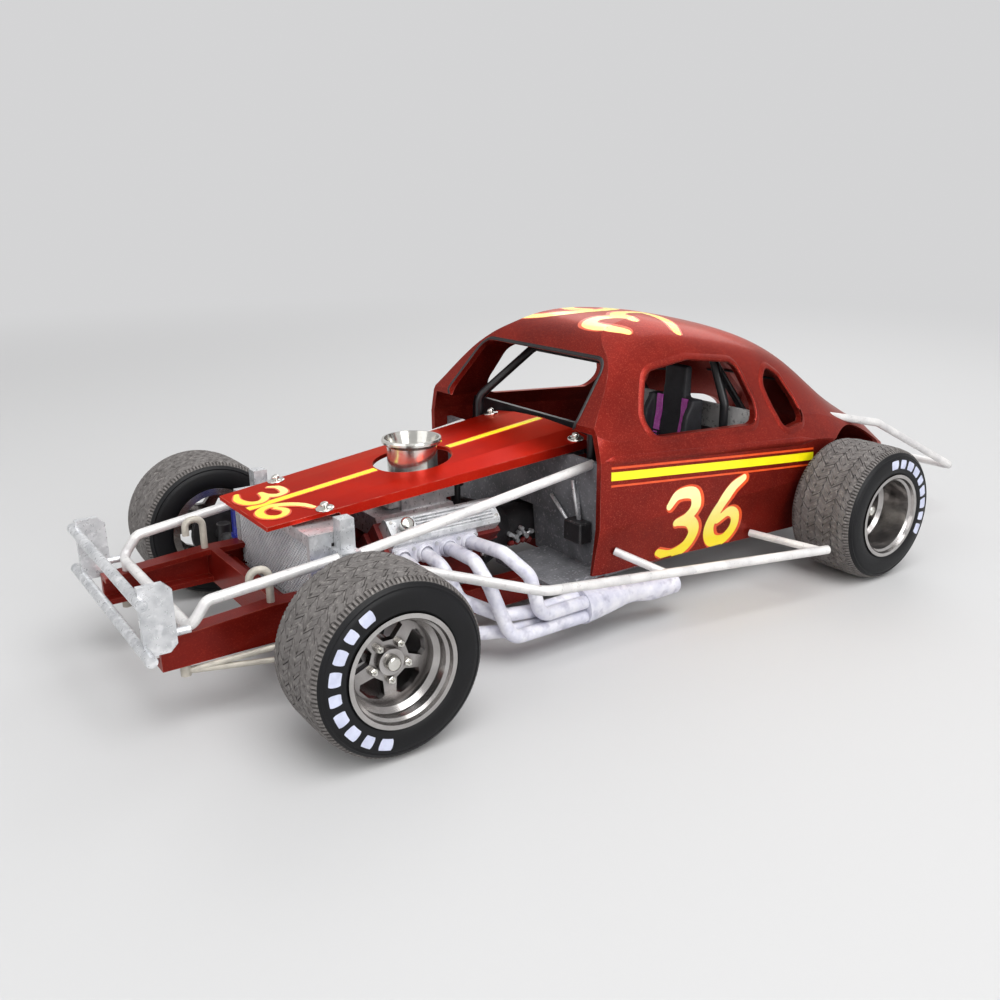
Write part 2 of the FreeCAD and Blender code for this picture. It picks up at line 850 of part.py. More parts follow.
def along_x(name, places, front, back):
    """A y-z outline carried from one x to another, as its own body."""
    body = new_body(name)
    pad(body, name + "Pad", "YZ_Plane", places, "(%s) - (%s)" % (front, back), centred=False)
    return put(body, back)


def both_sides(half):
    return half + [("0 - (%s)" % y, z) for y, z in reversed(half)]


block_places = both_sides(
    [
        ("0", "deck_high_z - head_rise*1.7"),
        ("deck_high_y - head_rise*0.8", "deck_high_z - head_rise*0.8"),
        ("deck_high_y", "deck_high_z"),
        ("deck_low_y", "deck_low_z"),
        ("block_foot_half*1.3", "crank_z"),
        ("block_foot_half", "block_foot_z"),
    ]
)
block_places = block_places[:-1]
block = along_x("BlockBody", block_places, "0 - engine_front", "0 - engine_rear")
head_places = [
    ("deck_low_y", "deck_low_z"),
    ("deck_high_y", "deck_high_z"),
    ("deck_high_y + head_rise", "deck_high_z + head_rise"),
    ("deck_low_y + head_rise", "deck_low_z + head_rise"),
]
head = along_x("HeadBody", head_places, "0 - engine_front - head_inset", "0 - engine_rear + head_inset")
head_right = mirror("HeadRight", head)
node("cylinder_heads", [head, head_right])
cover_places = [
    ("deck_low_y + head_rise - cover_inset", "deck_low_z + head_rise + cover_inset"),
    ("deck_high_y + head_rise + cover_inset", "deck_high_z + head_rise - cover_inset"),
    ("deck_high_y + head_rise + cover_rise*0.8 + cover_inset", "deck_high_z + head_rise + cover_rise*0.8 - cover_inset"),
    ("deck_high_y + head_rise + cover_rise + cover_inset*2", "deck_high_z + head_rise + cover_rise - cover_inset*2"),
    ("deck_low_y + head_rise + cover_rise - cover_inset*2", "deck_low_z + head_rise + cover_rise + cover_inset*2"),
    ("deck_low_y + head_rise + cover_rise*0.8 - cover_inset", "deck_low_z + head_rise + cover_rise*0.8 + cover_inset"),
]
cover = along_x(
    "CoverBody",
    cover_places,
    "0 - engine_front - head_inset - cover_end",
    "0 - engine_rear + head_inset + cover_end",
)
node("valve_covers", [cover, mirror("CoverRight", cover)])
pan_side = [
    ("0 - engine_front", "block_foot_z"),
    ("0 - engine_front", "block_foot_z - pan_deep*0.5"),
    ("0 - engine_cross_x - cross_width", "block_foot_z - pan_deep*0.8"),
    ("0 - engine_cross_x - cross_width*1.3", "block_foot_z - pan_deep - sump_deep*0.5"),
    ("0 - engine_rear", "block_foot_z - pan_deep - sump_deep*0.5"),
    ("0 - engine_rear", "block_foot_z"),
]
pan_body = new_body("PanBody")
pad(pan_body, "PanPad", "XZ_Plane", pan_side, "pan_half*2")
engine = fuse("EngineFused", block, pan_body)
node("engine_block", [engine])
mount = box(
    "EngineMountLeft",
    ("0 - engine_cross_x - cross_width", "pan_half + seat_gap", "rail_low + cross_thick"),
    ("cross_width", "rail_flange*1.5", "crank_z - rail_low - cross_thick"),
)
mount_left = cut("MountSeated", mount, block)
manifold_places = both_sides(
    [
        ("manifold_half*0.6", "manifold_base"),
        ("manifold_half*1.1", "manifold_base + (manifold_top - manifold_base)*0.45"),
        ("manifold_half*0.8", "manifold_top"),
    ]
)
manifold_raw = along_x(
    "ManifoldBody", manifold_places, "0 - engine_front - manifold_end", "0 - engine_rear + manifold_end*1.5"
)
manifold = cut("ManifoldSeated", manifold_raw, block, head, head_right)
node("intake_manifold", [manifold])
carb_top = "(manifold_top + carb_height)"
carb_main = box(
    "CarbMain",
    ("0 - stack_x - carb_length/2", "0 - carb_half", "manifold_top"),
    ("carb_length", "carb_half*2", "carb_height"),
)
bowls = []
for sign, word in (("+", "Front"), ("-", "Rear")):
    shift = "carb_length/2" if sign == "+" else "(0 - carb_length/2 - bowl_length)"
    bowls.append(
        box(
            "Bowl" + word,
            ("0 - stack_x + " + shift, "0 - carb_half*0.8", "manifold_top + (carb_height - bowl_height)/2"),
            ("bowl_length", "carb_half*1.6", "bowl_height"),
        )
    )
node("carburettor", [fuse("CarbFused", carb_main, *bowls)])
stack_body = new_body("StackBody")
stack_places = [
    ("throat_radius", carb_top),
    ("throat_radius", carb_top + " + throat_length"),
    ("(throat_radius + stack_mouth)/2", "stack_top - rim_height*1.4"),
    ("stack_mouth", "stack_top"),
    ("stack_rim - (stack_rim - stack_mouth)*0.3", "stack_top"),
    ("stack_rim", "stack_top - rim_height*0.25"),
    ("stack_rim", "stack_top - rim_height*0.5"),
    ("stack_outer", "stack_top - rim_height"),
    ("stack_outer", carb_top + " + throat_length*0.2"),
    ("stack_outer*0.96", carb_top),
]
spin(stack_body, "StackSpin", "XZ_Plane", stack_places, "V_Axis")
node("velocity_stack", [put(stack_body, "0 - stack_x")])

drive = new_body("DriveBody")
hub_front = "(0 - engine_front)"
spin(
    drive,
    "CrankPulley",
    "XY_Plane",
    [
        ("0", "0"),
        ("0", "pulley_thick*2.2"),
        ("pulley_radius*0.45", "pulley_thick*2.2"),
        ("pulley_radius*0.45", "pulley_thick*1.6"),
        ("pulley_radius", "pulley_thick*1.6"),
        ("pulley_radius*0.85", "pulley_thick*1.1"),
        ("pulley_radius", "pulley_thick*0.6"),
        ("pulley_radius*0.4", "pulley_thick*0.6"),
        ("pulley_radius*0.4", "0"),
    ],
    "V_Axis",
)
drive.Placement = FreeCAD.Placement(V(0, 0, 0), FreeCAD.Rotation(V(0, 0, 1), -90))
put(drive, hub_front, "0", "crank_z")
pump = rod("PumpShaft", "x", "pulley_radius*0.5", "pulley_thick*2.7 + deck_pocket", (hub_front + " - deck_pocket", "0", "pump_z"))
pump_wheel = rod(
    "PumpPulley", "x", "pulley_radius*0.8", "pulley_thick*0.7", (hub_front + " + pulley_thick*0.7", "0", "pump_z")
)
blades = [
    box(
        "FanBladeUp",
        (hub_front + " + pulley_thick*2.4", "0 - blade_width/2", "pump_z - fan_radius"),
        ("fan_thick", "blade_width", "fan_radius*2"),
    ),
    box(
        "FanBladeAcross",
        (hub_front + " + pulley_thick*2.4", "0 - fan_radius", "pump_z - blade_width/2"),
        ("fan_thick", "fan_radius*2", "blade_width"),
    ),
]
node("front_drive", [drive, cut("FanSeated", fuse("FanFused", pump, pump_wheel, *blades), block)])
distributor = rod(
    "DistributorBody",
    "z",
    "distributor_radius*0.6",
    "distributor_top - deck_low_z",
    ("0 - distributor_x", "0", "deck_low_z"),
)
distributor_cap = rod(
    "DistributorCap",
    "z",
    "distributor_radius",
    "(distributor_top - deck_high_z)*0.5",
    ("0 - distributor_x", "0", "distributor_top - (distributor_top - deck_high_z)*0.5"),
)
node(
    "distributor",
    [cut("DistributorSeated", fuse("DistributorFused", distributor, distributor_cap), block, manifold)],
)
gear_body = new_body("GearBody")
gear_places = [
    ("0", "0"),
    ("bell_radius", "0"),
    ("bell_radius", "(bell_back - engine_rear)*0.25"),
    ("box_radius*1.1", "bell_back - engine_rear"),
    ("box_radius", "bell_back - engine_rear"),
    ("box_radius", "box_back - engine_rear"),
    ("tail_radius", "box_back - engine_rear + tail_radius"),
    ("tail_radius", "tail_back - engine_rear"),
    ("0", "tail_back - engine_rear"),
]
spin(gear_body, "GearSpin", "XY_Plane", gear_places, "V_Axis")
gear_body.Placement = FreeCAD.Placement(V(0, 0, 0), FreeCAD.Rotation(V(0, 0, 1), 90))
put(gear_body, "0 - engine_rear", "0", "crank_z")
node("gearbox", [gear_body])
gear_pad = box(
    "GearPad",
    ("0 - gear_cross_x - cross_width*0.8", "0 - box_radius*0.6", "rail_low + cross_thick"),
    ("cross_width*0.6", "box_radius*1.2", "crank_z - rail_low - cross_thick"),
)
node("engine_mounts", [mount_left, mirror("MountRight", mount_left), cut("GearPadSeated", gear_pad, gear_body)])

# Exhaust headers: four primaries sweep out, down and back into a collector and a short pipe.
pipes = []
ports = ["(0 - port_first_x - port_pitch*%d)" % i for i in range(4)]
row_in = "(collector_y - primary_radius*1.02)"
row_out = "(collector_y + primary_radius*1.02)"
routes = [
    [
        (ports[0], "port_y", "port_z"),
        (ports[0], "rail_outer + primary_radius*1.9", "port_z - primary_radius*0.6"),
        (ports[0] + " - primary_radius*1.8", "rail_outer + primary_radius*2.6", "lower_run_z + primary_radius*2.4"),
        (ports[1] + " - primary_radius*2.6", row_in + " - primary_radius*2.4", "lower_run_z"),
        (ports[3], row_in, "lower_run_z"),
        ("0 - collector_x", row_in, "lower_run_z"),
    ],
    [
        (ports[1], "port_y", "port_z"),
        (ports[1], "rail_outer + primary_radius*2.2", "port_z - primary_radius*0.6"),
        (ports[1] + " - primary_radius*2.0", "rail_outer + primary_radius*3.6", "upper_run_z + primary_radius*2.2"),
        (ports[2] + " - primary_radius*2.6", row_in + " - primary_radius*1.2", "upper_run_z"),
        (ports[3] + " - primary_radius*3", row_in, "upper_run_z"),
        ("0 - collector_x", row_in, "upper_run_z"),
    ],
    [
        (ports[2], "port_y", "port_z"),
        (ports[2], "port_y + primary_radius*8.4", "port_z + primary_radius*0.1"),
        (ports[2] + " - primary_radius*0.6", "port_y + primary_radius*11.2", "port_z - primary_radius*3"),
        (ports[2] + " - primary_radius*2.0", row_out, "lower_run_z"),
        ("0 - collector_x", row_out, "lower_run_z"),
    ],
    [
        (ports[3], "port_y", "port_z"),
        (ports[3] + " - primary_radius*0.4", "port_y + primary_radius*9.6", "port_z + primary_radius*0.7"),
        (ports[3] + " - primary_radius*2.2", "port_y + primary_radius*13.4", "port_z - primary_radius*2"),
        (ports[3] + " - primary_radius*3.2", row_out + " + primary_radius*0.2", "upper_run_z"),
        (ports[3] + " - primary_radius*8", row_out, "upper_run_z"),
        ("0 - collector_x", row_out, "upper_run_z"),
    ],
]
for i, route in enumerate(routes):
    pipes.append(tube("Primary%d" % i, route, "primary_radius", "sweep_bend"))


def cone(first, last, start, end):
    way = end - start
    return Part.makeCone(first, last, way.Length, start, way)


join_start = point(("0 - collector_x + primary_radius*0.5", "collector_y", "collector_z"))
join_end = point(("0 - collector_x - collector_length", "collector_y", "collector_z"))
join_neck = point(("0 - collector_x - collector_length*1.5", "collector_y", "collector_z"))
collector = cone(num("primary_radius*2.65"), num("collector_radius"), join_start, join_end)
neck = cone(num("collector_radius"), num("outlet_radius"), join_end, join_neck)
pipe = tube_shape(
    [
        join_neck,
        point(("0 - collector_x - collector_length*1.5 - outlet_radius*1.2", "collector_y", "collector_z")),
        point(("0 - outlet_x + outlet_bore_length*1.2", "outlet_y", "outlet_z")),
        point(("0 - outlet_x", "outlet_y", "outlet_z")),
    ],
    num("outlet_radius"),
    num("sweep_bend*2"),
)
bore = Part.makeCylinder(
    num("outlet_bore"),
    num("outlet_bore_length + cut_overrun"),
    V(num("0 - outlet_x - cut_overrun"), num("outlet_y"), num("outlet_z")),
    V(1, 0, 0),
)
tail_pipe = solid("TailPipe", collector.fuse([neck, pipe]).cut(bore))
flange = box(
    "HeaderFlange",
    (ports[3] + " - primary_radius*1.6", "0 - flange_thick/2", "0 - primary_radius*1.5"),
    ("port_pitch*3 + primary_radius*3.2", "flange_thick", "primary_radius*3"),
)
flange.Placement = FreeCAD.Placement(V(0, 0, 0), FreeCAD.Rotation(V(1, 0, 0), -45))
put(flange, ports[3] + " - primary_radius*1.6", "port_y - primary_radius*1.2", "port_z - primary_radius*1.1")
header_raw = fuse("HeaderFused", *pipes, tail_pipe)
header = cut("HeaderSeated", header_raw, block, head, cover)
node("exhaust_headers", [header, mirror("HeaderRight", header)])

# Coupe body: one shell, lofted through stations, cut to its side profile, with open windows.
station_shares = (
    (0.000, 0.925, 0.990, 0.990, 0.592, 0.945, 0.680, 0.735, 0.872, 0.495, 0.958, 0.990),
    (0.150, 0.925, 0.995, 0.990, 0.586, 0.928, 0.668, 0.722, 0.885, 0.468, 0.968, 1.000),
    (0.350, 0.925, 0.995, 0.982, 0.560, 0.905, 0.645, 0.714, 0.872, 0.460, 0.961, 0.993),
    (0.545, 0.925, 0.985, 0.970, 0.528, 0.876, 0.614, 0.664, 0.815, 0.430, 0.888, 0.915),
    (0.695, 0.925, 0.965, 0.950, 0.497, 0.822, 0.583, 0.584, 0.730, 0.372, 0.787, 0.808),
    (0.830, 0.905, 0.925, 0.912, 0.462, 0.774, 0.521, 0.515, 0.603, 0.331, 0.634, 0.650),
    (0.945, 0.800, 0.835, 0.827, 0.412, 0.662, 0.470, 0.442, 0.508, 0.295, 0.527, 0.536),
    (1.010, 0.700, 0.730, 0.715, 0.370, 0.560, 0.410, 0.370, 0.440, 0.240, 0.455, 0.462),
)
profile_shares = (
    (0.0, -0.10), (0.0, 0.700), (0.098, 0.902),
)
roof_shares = (
    (0.098, 0.902), (0.124, 0.950), (0.186, 0.989), (0.290, 1.001), (0.435, 0.969),
    (0.583, 0.891), (0.718, 0.778), (0.820, 0.645), (0.911, 0.537), (0.979, 0.430), (1.0, 0.273), (0.989, 0.140),
)
sill_front_share = 0.193
sill_rear_share = 0.135
crease_share = 0.361


def body_section(share_row, inset_wall):
    length = num("body_length")
    half = num("body_half")
    height = num("body_height")
    x = -num("body_front_x") - length * share_row[0]
    sill, crease, belt, belt_z, base, base_z, rail, rail_z, mid, mid_z, crown_z = share_row[1:]
    w = inset_wall
    low = height * (sill_front_share + (sill_rear_share - sill_front_share) * share_row[0])
    drop = num("cut_overrun") * 2 if inset_wall else 0
    left = [
        V(x, half * sill - w, low - drop),
        V(x, half * crease - w, height * crease_share),
        V(x, half * belt - w, height * belt_z),
        V(x, half * base - w, height * base_z - w * 0.3),
        V(x, half * (base * 0.5 + rail * 0.5) - w * 0.92, height * (base_z + rail_z) / 2 - w * 0.3),
        V(x, half * rail - w * 0.75, height * rail_z - w * 0.65),
        V(x, half * mid - w * 0.25, height * mid_z - w * 0.95),
        V(x, 0, height * crown_z - w),
    ]
    right = [V(p.x, -p.y, p.z) for p in left]
    roof = Part.BSplineCurve()
    roof.interpolate(left[3:] + list(reversed(right[3:-1])))
    edges = [Part.LineSegment(left[i], left[i + 1]).toShape() for i in range(3)]
    edges.append(roof.toShape())
    edges += [Part.LineSegment(right[i + 1], right[i]).toShape() for i in (2, 1, 0)]
    edges.append(Part.LineSegment(right[0], left[0]).toShape())
    return Part.Wire(edges)


def body_loft(inset_wall):
    return Part.makeLoft([body_section(row, inset_wall) for row in station_shares], True, False)


def profile_prism(inset_wall, reach):
    """The side view carried across the car: windscreen post, roof, tail, open below."""
    length = num("body_length")
    height = num("body_height")
    front = -num("body_front_x")
    w = inset_wall
    curve = [V(front - length * a, 0, height * b) for a, b in roof_shares]
    if inset_wall:
        moved = []
        for i, here in enumerate(curve):
            before = curve[max(i - 1, 0)]
            after = curve[min(i + 1, len(curve) - 1)]
            way = (after - before).normalize()
            moved.append(here + V(-way.z, 0, way.x) * w * (1 if way.x < 0 else 1))
        curve = moved
    roof = Part.BSplineCurve()
    roof.interpolate(curve)
    start = curve[0]
    end = curve[-1]
    nose = V(front + reach, 0, height * profile_shares[1][1] - (w if w else 0))
    kink = V(front - w * 0.4 if w else front, 0, nose.z)
    low_front = V(front + reach, 0, height * profile_shares[0][1])
    low_back = V(end.x, 0, height * profile_shares[0][1])
    edges = [roof.toShape(), Part.LineSegment(end, low_back).toShape()]
    edges.append(Part.LineSegment(low_back, low_front).toShape())
    edges.append(Part.LineSegment(low_front, nose).toShape())
    if reach:
        edges.append(Part.LineSegment(nose, kink).toShape())
    edges.append(Part.LineSegment(kink if reach else nose, start).toShape())
    face = Part.Face(Part.Wire(edges))
    face.translate(V(0, -num("body_half") * 1.1, 0))
    return face.extrude(V(0, num("body_half") * 2.2, 0))


def rounded_face(corners, radius):
    return Part.Face(Part.Wire(corner_path(corners, [radius] * len(corners), closed=True)))


def side_window(shares, radius):
    length = num("body_length")
    height = num("body_height")
    front = -num("body_front_x")
    wide = num("body_half") * 1.1
    corners = [V(front - length * a, -wide, height * b) for a, b in shares]
    return rounded_face(corners, radius).extrude(V(0, wide * 2, 0))


def end_window(shares, radius, start, reach):
    half = num("body_half")
    height = num("body_height")
    corners = [V(start, half * a, height * b) for a, b in shares]
    corners += [V(start, -half * a, height * b) for a, b in reversed(shares)]
    return rounded_face(corners, radius).extrude(V(reach, 0, 0))


door_window_shares = ((0.116, 0.642), (0.168, 0.842), (0.290, 0.862), (0.432, 0.828), (0.488, 0.606))
quarter_window_shares = ((0.517, 0.742), (0.549, 0.790), (0.592, 0.745), (0.624, 0.655), (0.632, 0.578), (0.545, 0.568))
screen_shares = ((0.745, 0.660), (0.665, 0.886))
back_light_shares = ((0.300, 0.745), (0.260, 0.842))
outer_loft = body_loft(0)
outer = outer_loft.common(profile_prism(0, 0))
inner_loft = body_loft(num("body_wall"))
cabin_space = inner_loft.common(profile_prism(num("body_wall"), num("cut_overrun") * 4))
corner = num("window_corner")
openings = [
    side_window(door_window_shares, corner),
    side_window(quarter_window_shares, corner * 0.7),
    end_window(screen_shares, corner * 0.8, -num("body_front_x") - num("body_length") * 0.3, num("body_length")),
    end_window(
        back_light_shares, corner * 0.5, -num("body_front_x") - num("body_length") * 0.9, num("body_length") * 0.36
    ),
    Part.makeCylinder(
        num("arch_radius"),
        num("body_half") * 2.2,
        V(-num("arch_x"), -num("body_half") * 1.1, num("arch_z")),
        V(0, 1, 0),
    ),
]
shell = outer.cut(cabin_space).cut(openings)
print("body pieces", len(shell.Solids), [round(s.Volume) for s in shell.Solids], shell.isValid())
outer_body = solid("BodySolid", outer)
cabin = solid("CabinSpace", cabin_space)
coupe = solid("CoupeShell", max(shell.Solids, key=lambda s: s.Volume))
node("coupe_body", [coupe])

# Floor with tunnel, firewall with hood ledge, rear bulkhead.
hat_ordered = [
    ("body_half*1.1", floor_z),
    ("body_half*1.1", floor_top),
    ("tunnel_half + floor_thick", floor_top),
    ("tunnel_half*0.8 + floor_thick", "tunnel_top + floor_thick"),
    ("0 - tunnel_half*0.8 - floor_thick", "tunnel_top + floor_thick"),
    ("0 - tunnel_half - floor_thick", floor_top),
    ("0 - body_half*1.1", floor_top),
    ("0 - body_half*1.1", floor_z),
    ("0 - tunnel_half", floor_z),
    ("0 - tunnel_half*0.8", "tunnel_top"),
    ("tunnel_half*0.8", "tunnel_top"),
    ("tunnel_half", floor_z),
]
floor_raw = along_x("FloorBody", hat_ordered, "0 - firewall_x - firewall_thick", "0 - floor_back_x")
floor_cabin = common("FloorInCabin", floor_raw, cabin)
apron = box(
    "Apron",
    ("0 - firewall_x", "apron_inner", floor_z),
    ("firewall_x - floor_front_x", "floor_half - apron_inner", "floor_thick"),
)
apron_left = cut("ApronClear", apron, coupe)
node("floor_pan", [floor_cabin, apron_left, mirror("ApronRight", apron_left)])
fire_raw = box(
    "FirewallRaw",
    ("0 - firewall_x - firewall_thick", "0 - body_half", floor_z),
    ("firewall_thick", "body_half*2", hood_at_wall + " - hood_lip - seat_gap - rail_high"),
)
tunnel_hole = along_x(
    "TunnelHole",
    [
        ("tunnel_half", "0"),
        ("tunnel_half", floor_z),
        ("tunnel_half*0.8", "tunnel_top"),
        ("0 - tunnel_half*0.8", "tunnel_top"),
        ("0 - tunnel_half", floor_z),
        ("0 - tunnel_half", "0"),
    ],
    "0",
    "0 - floor_back_x - cut_overrun",
)
ledge = box(
    "HoodLedge",
    ("0 - firewall_x - ledge_deep", "0 - ledge_half", hood_at_wall + " - hood_lip - seat_gap - floor_thick"),
    ("ledge_deep", "ledge_half*2", "hood_lip - hood_thick + floor_thick"),
)
fire_block = cut("FirewallOpen", common("FirewallInCabin", fire_raw, cabin), tunnel_hole)
firewall = fuse("FirewallFused", fire_block, ledge)
bulk_raw = box(
    "BulkheadRaw",
    ("0 - floor_back_x - floor_thick", "0 - body_half", floor_z),
    ("floor_thick", "body_half*2", "bulkhead_top - rail_high"),
)
bulkhead = cut("BulkheadOpen", common("BulkheadInCabin", bulk_raw, cabin), tunnel_hole)
node("rear_bulkhead", [bulkhead])

brace_left = cut("BraceSeated", brace, bracket, firewall)
node("brace_bars", [brace_left, mirror("BraceRight", brace_left)])

# Side bars: from the frame ahead of the headers, out and back past the door, on two struts.
nerf = tube(
    "NerfTube",
    [
        ("0 - nerf_front_x", "rail_outer - rail_web/2", "nerf_front_z"),
        ("0 - nerf_knee_x", "nerf_knee_y", "nerf_knee_z"),
        ("0 - nerf_turn_x", "nerf_turn_y", "nerf_turn_z"),
        ("0 - nerf_mid_x", "nerf_mid_y", "nerf_mid_z"),
        ("0 - nerf_rear_x", "nerf_rear_y", "nerf_rear_z"),
    ],
    "tube_radius",
    "hoop_bend*3",
)
strut_front = bar(
    "StrutFront",
    ("0 - strut_front_x", "body_half*0.97", "strut_front_z"),
    ("0 - nerf_mid_x", "nerf_mid_y", "nerf_mid_z"),
    "strut_radius",
)
rear_share = "(strut_rear_x + cross_width - nerf_mid_x)/(nerf_rear_x - nerf_mid_x)"
strut_rear = bar(
    "StrutRear",
    ("0 - strut_rear_x", "body_half*0.955", "strut_rear_z"),
    (
        "0 - strut_rear_x - cross_width",
        "nerf_mid_y + (nerf_rear_y - nerf_mid_y)*" + rear_share,
        "nerf_mid_z + (nerf_rear_z - nerf_mid_z)*" + rear_share,
    ),
    "strut_radius",
)
side_bar = cut("NerfSeated", fuse("NerfFused", nerf, strut_front, strut_rear), outer_body, frame_body)
node("side_bars", [side_bar, mirror("NerfRight", side_bar)])

# Rear bumper: hoop from the rear quarters down to a low cross tube, with stays to the frame tail.
rear_hoop = tube(
    "RearHoop",
    [
        (rear_mount_x, "rear_mount_y", rear_mount_z),
        (rear_bend_x, "rear_bend_y", rear_bend_z),
        (rear_bumper_x, "rear_low_half*0.98", "rear_low_z"),
        (rear_bumper_x, "0 - rear_low_half*0.98", "rear_low_z"),
        (rear_bend_x, "0 - rear_bend_y", rear_bend_z),
        (rear_mount_x, "0 - rear_mount_y", rear_mount_z),
    ],
    "tube_radius",
    "hoop_bend",
)
stays = [
    bar(
        "RearStay" + word,
        ("0 - rail_tail_x + cross_width/2", sign + "(rail_inner + rail_outer)/2", "rear_stay_z"),
        (rear_bumper_x, sign + "(rail_inner + rail_outer)/2", "rear_low_z"),
        "tube_radius",
    )
    for sign, word in (("", "Left"), ("0 - ", "Right"))
]
rear_raw = fuse("RearBumperFused", rear_hoop, *stays)
node("rear_bumper", [cut("RearBumperSeated", rear_raw, outer_body, frame_body)])

# Roll cage.
cage_tubes = []
for sign, word in (("", "Left"), ("0 - ", "Right")):
    cage_tubes.append(
        tube(
            "CageFront" + word,
            [
                ("0 - cage_front_x", sign + "cage_half", floor_top),
                ("0 - cage_front_x", sign + "cage_half", cage_knee_z),
                ("0 - cage_visor_x", sign + "cage_shoulder", cage_top_z),
                (cage_main_x, sign + "cage_shoulder", cage_top_z),
            ],
            "cage_radius",
            "cage_bend",
        )
    )
    cage_tubes.append(
        bar(
            "CageDoor" + word,
            ("0 - cage_front_x", sign + "cage_half", "door_bar_z"),
            (cage_main_x, sign + "cage_half", "door_bar_z"),
            "cage_radius*0.86",
        )
    )
    cage_tubes.append(
        bar(
            "CageBrace" + word,
            (cage_main_x, sign + "cage_shoulder", cage_top_z + " - cage_radius"),
            ("0 - rail_arch_x - cage_radius", sign + "(rail_inner + rail_outer)/2", "rail_arch_top - rail_flange*0.15"),
            "cage_radius*0.86",
        )
    )
cage_tubes.append(
    tube(
        "CageMain",
        [
            (cage_main_x, "cage_half", floor_top),
            (cage_main_x, "cage_half", cage_knee_z),
            (cage_main_x, "cage_shoulder", cage_top_z),
            (cage_main_x, "0 - cage_shoulder", cage_top_z),
            (cage_main_x, "0 - cage_half", cage_knee_z),
            (cage_main_x, "0 - cage_half", floor_top),
        ],
        "cage_radius",
        "cage_bend",
    )
)
cage_tubes.append(
    bar(
        "CageVisor",
        ("0 - cage_visor_x", "cage_shoulder", cage_top_z),
        ("0 - cage_visor_x", "0 - cage_shoulder", cage_top_z),
        "cage_radius*0.86",
    )
)
cage_tubes.append(
    bar(
        "CageShoulderBar",
        (cage_main_x, "cage_half", "door_bar_z*1.4"),
        (cage_main_x, "0 - cage_half", "door_bar_z*1.4"),
        "cage_radius*0.86",
    )
)
cage = cut("CageSeated", fuse("CageFused", *cage_tubes), frame_body)
node("roll_cage", [cage])

# Seat: one bucket, with a narrow head rest and two shoulder straps lying in it.
seat_line_shares = ((0.0, 0.205), (0.56, 0.150), (0.70, 0.240), (0.84, 0.680), (0.88, 1.02))


def seat_places(rows):
    return [
        ("0 - seat_front_x - seat_length*%s" % a, floor_top + " + seat_height*%s" % b)
        for a, b in rows
    ]


seat_side_shares = (
    (0.06, 0.0), (0.0, 0.12), (0.0, 0.24), (0.12, 0.29), (0.52, 0.24), (0.62, 0.36), (0.72, 0.70), (0.80, 0.78),
    (0.83, 1.0), (0.97, 1.0), (0.97, 0.60), (0.90, 0.0),
)
seat_open_shares = ((0.88, 1.1), (-0.3, 1.1), (-0.3, 0.205))
seat_body = new_body("SeatBody")
pad(seat_body, "SeatBlank", "XZ_Plane", seat_places(seat_side_shares), "seat_half*2")
hollow = seat_places(seat_line_shares + seat_open_shares)
pocket(seat_body, "SeatHollow", "XZ_Plane", hollow, "(seat_half - seat_wall)*2")
put(seat_body, "0", "seat_y")
head_cut = [
    box(
        "HeadTrim" + word,
        ("0 - seat_front_x - seat_length", start, floor_top + " + seat_height*0.80"),
        ("seat_length", "seat_half", "seat_height*0.4"),
    )
    for word, start in (("Left", "seat_y + head_half"), ("Right", "seat_y - head_half - seat_half"))
]
tunnel_block = along_x(
    "TunnelBlock",
    [
        ("tunnel_half + floor_thick", "0"),
        ("tunnel_half + floor_thick", floor_top),
        ("tunnel_half*0.8 + floor_thick", "tunnel_top + floor_thick"),
        ("0 - tunnel_half*0.8 - floor_thick", "tunnel_top + floor_thick"),
        ("0 - tunnel_half - floor_thick", floor_top),
        ("0 - tunnel_half - floor_thick", "0"),
    ],
    "0",
    "0 - floor_back_x - cut_overrun",
)
seat = cut("SeatTrimmed", seat_body, *(head_cut + [tunnel_block]))
node("seat", [seat])
belt_rows = ((0.715, 0.29), (0.838, 0.674), (0.855, 0.80))
belt_places = [
    ("0 - seat_front_x - seat_length*%s" % a, floor_top + " + seat_height*%s" % b) for a, b in belt_rows
]
belt_front = [(x + " + belt_thick", z) for x, z in reversed(belt_places)]
belt_body = new_body("BeltBody")
pad(belt_body, "BeltBlank", "XZ_Plane", belt_places + belt_front, "(belt_y + belt_half)*2")
belt_gap = [
    ("0 - seat_front_x - seat_length*1.1", floor_top),
    ("0 - seat_front_x - seat_length*1.1", floor_top + " + seat_height*1.1"),
    ("0 - seat_front_x + cut_overrun", floor_top + " + seat_height*1.1"),
    ("0 - seat_front_x + cut_overrun", floor_top),
]
pocket(belt_body, "BeltGap", "XZ_Plane", belt_gap, "(belt_y - belt_half)*2")
put(belt_body, "0", "seat_y")
node("seat_belts", [cut("BeltsSeated", belt_body, seat)])

# Steering wheel, column and dashboard.
wheel_centre = point(("0 - column_x", "seat_y", "column_z"))
column_foot = point(("0 - firewall_x - firewall_thick", "seat_y", "column_foot_z"))
column_way = (column_foot - wheel_centre).normalize()
ring = Part.makeTorus(num("wheel_ring"), num("wheel_grip"), wheel_centre, column_way)
boss = Part.makeCylinder(
    num("column_radius") * 2.4, num("wheel_grip") * 2, wheel_centre - column_way * num("wheel_grip"), column_way
)
spokes = []
across = V(0, 1, 0)
for turn in (0, 120, 240):
    way = FreeCAD.Rotation(column_way, turn + 90).multVec(across)
    flat = Part.makeBox(num("spoke_width"), num("wheel_grip"), num("wheel_ring"))
    flat.translate(V(-num("spoke_width") / 2, -num("wheel_grip") / 2, 0))
    flat.Placement = FreeCAD.Placement(
        wheel_centre, FreeCAD.Rotation(way.cross(column_way), column_way, way, "ZXY")
    ).multiply(flat.Placement)
    spokes.append(flat)
column = Part.makeCylinder(
    num("column_radius"),
    (column_foot - wheel_centre).Length - num("wheel_grip"),
    wheel_centre + column_way * num("wheel_grip"),
    column_way,
)
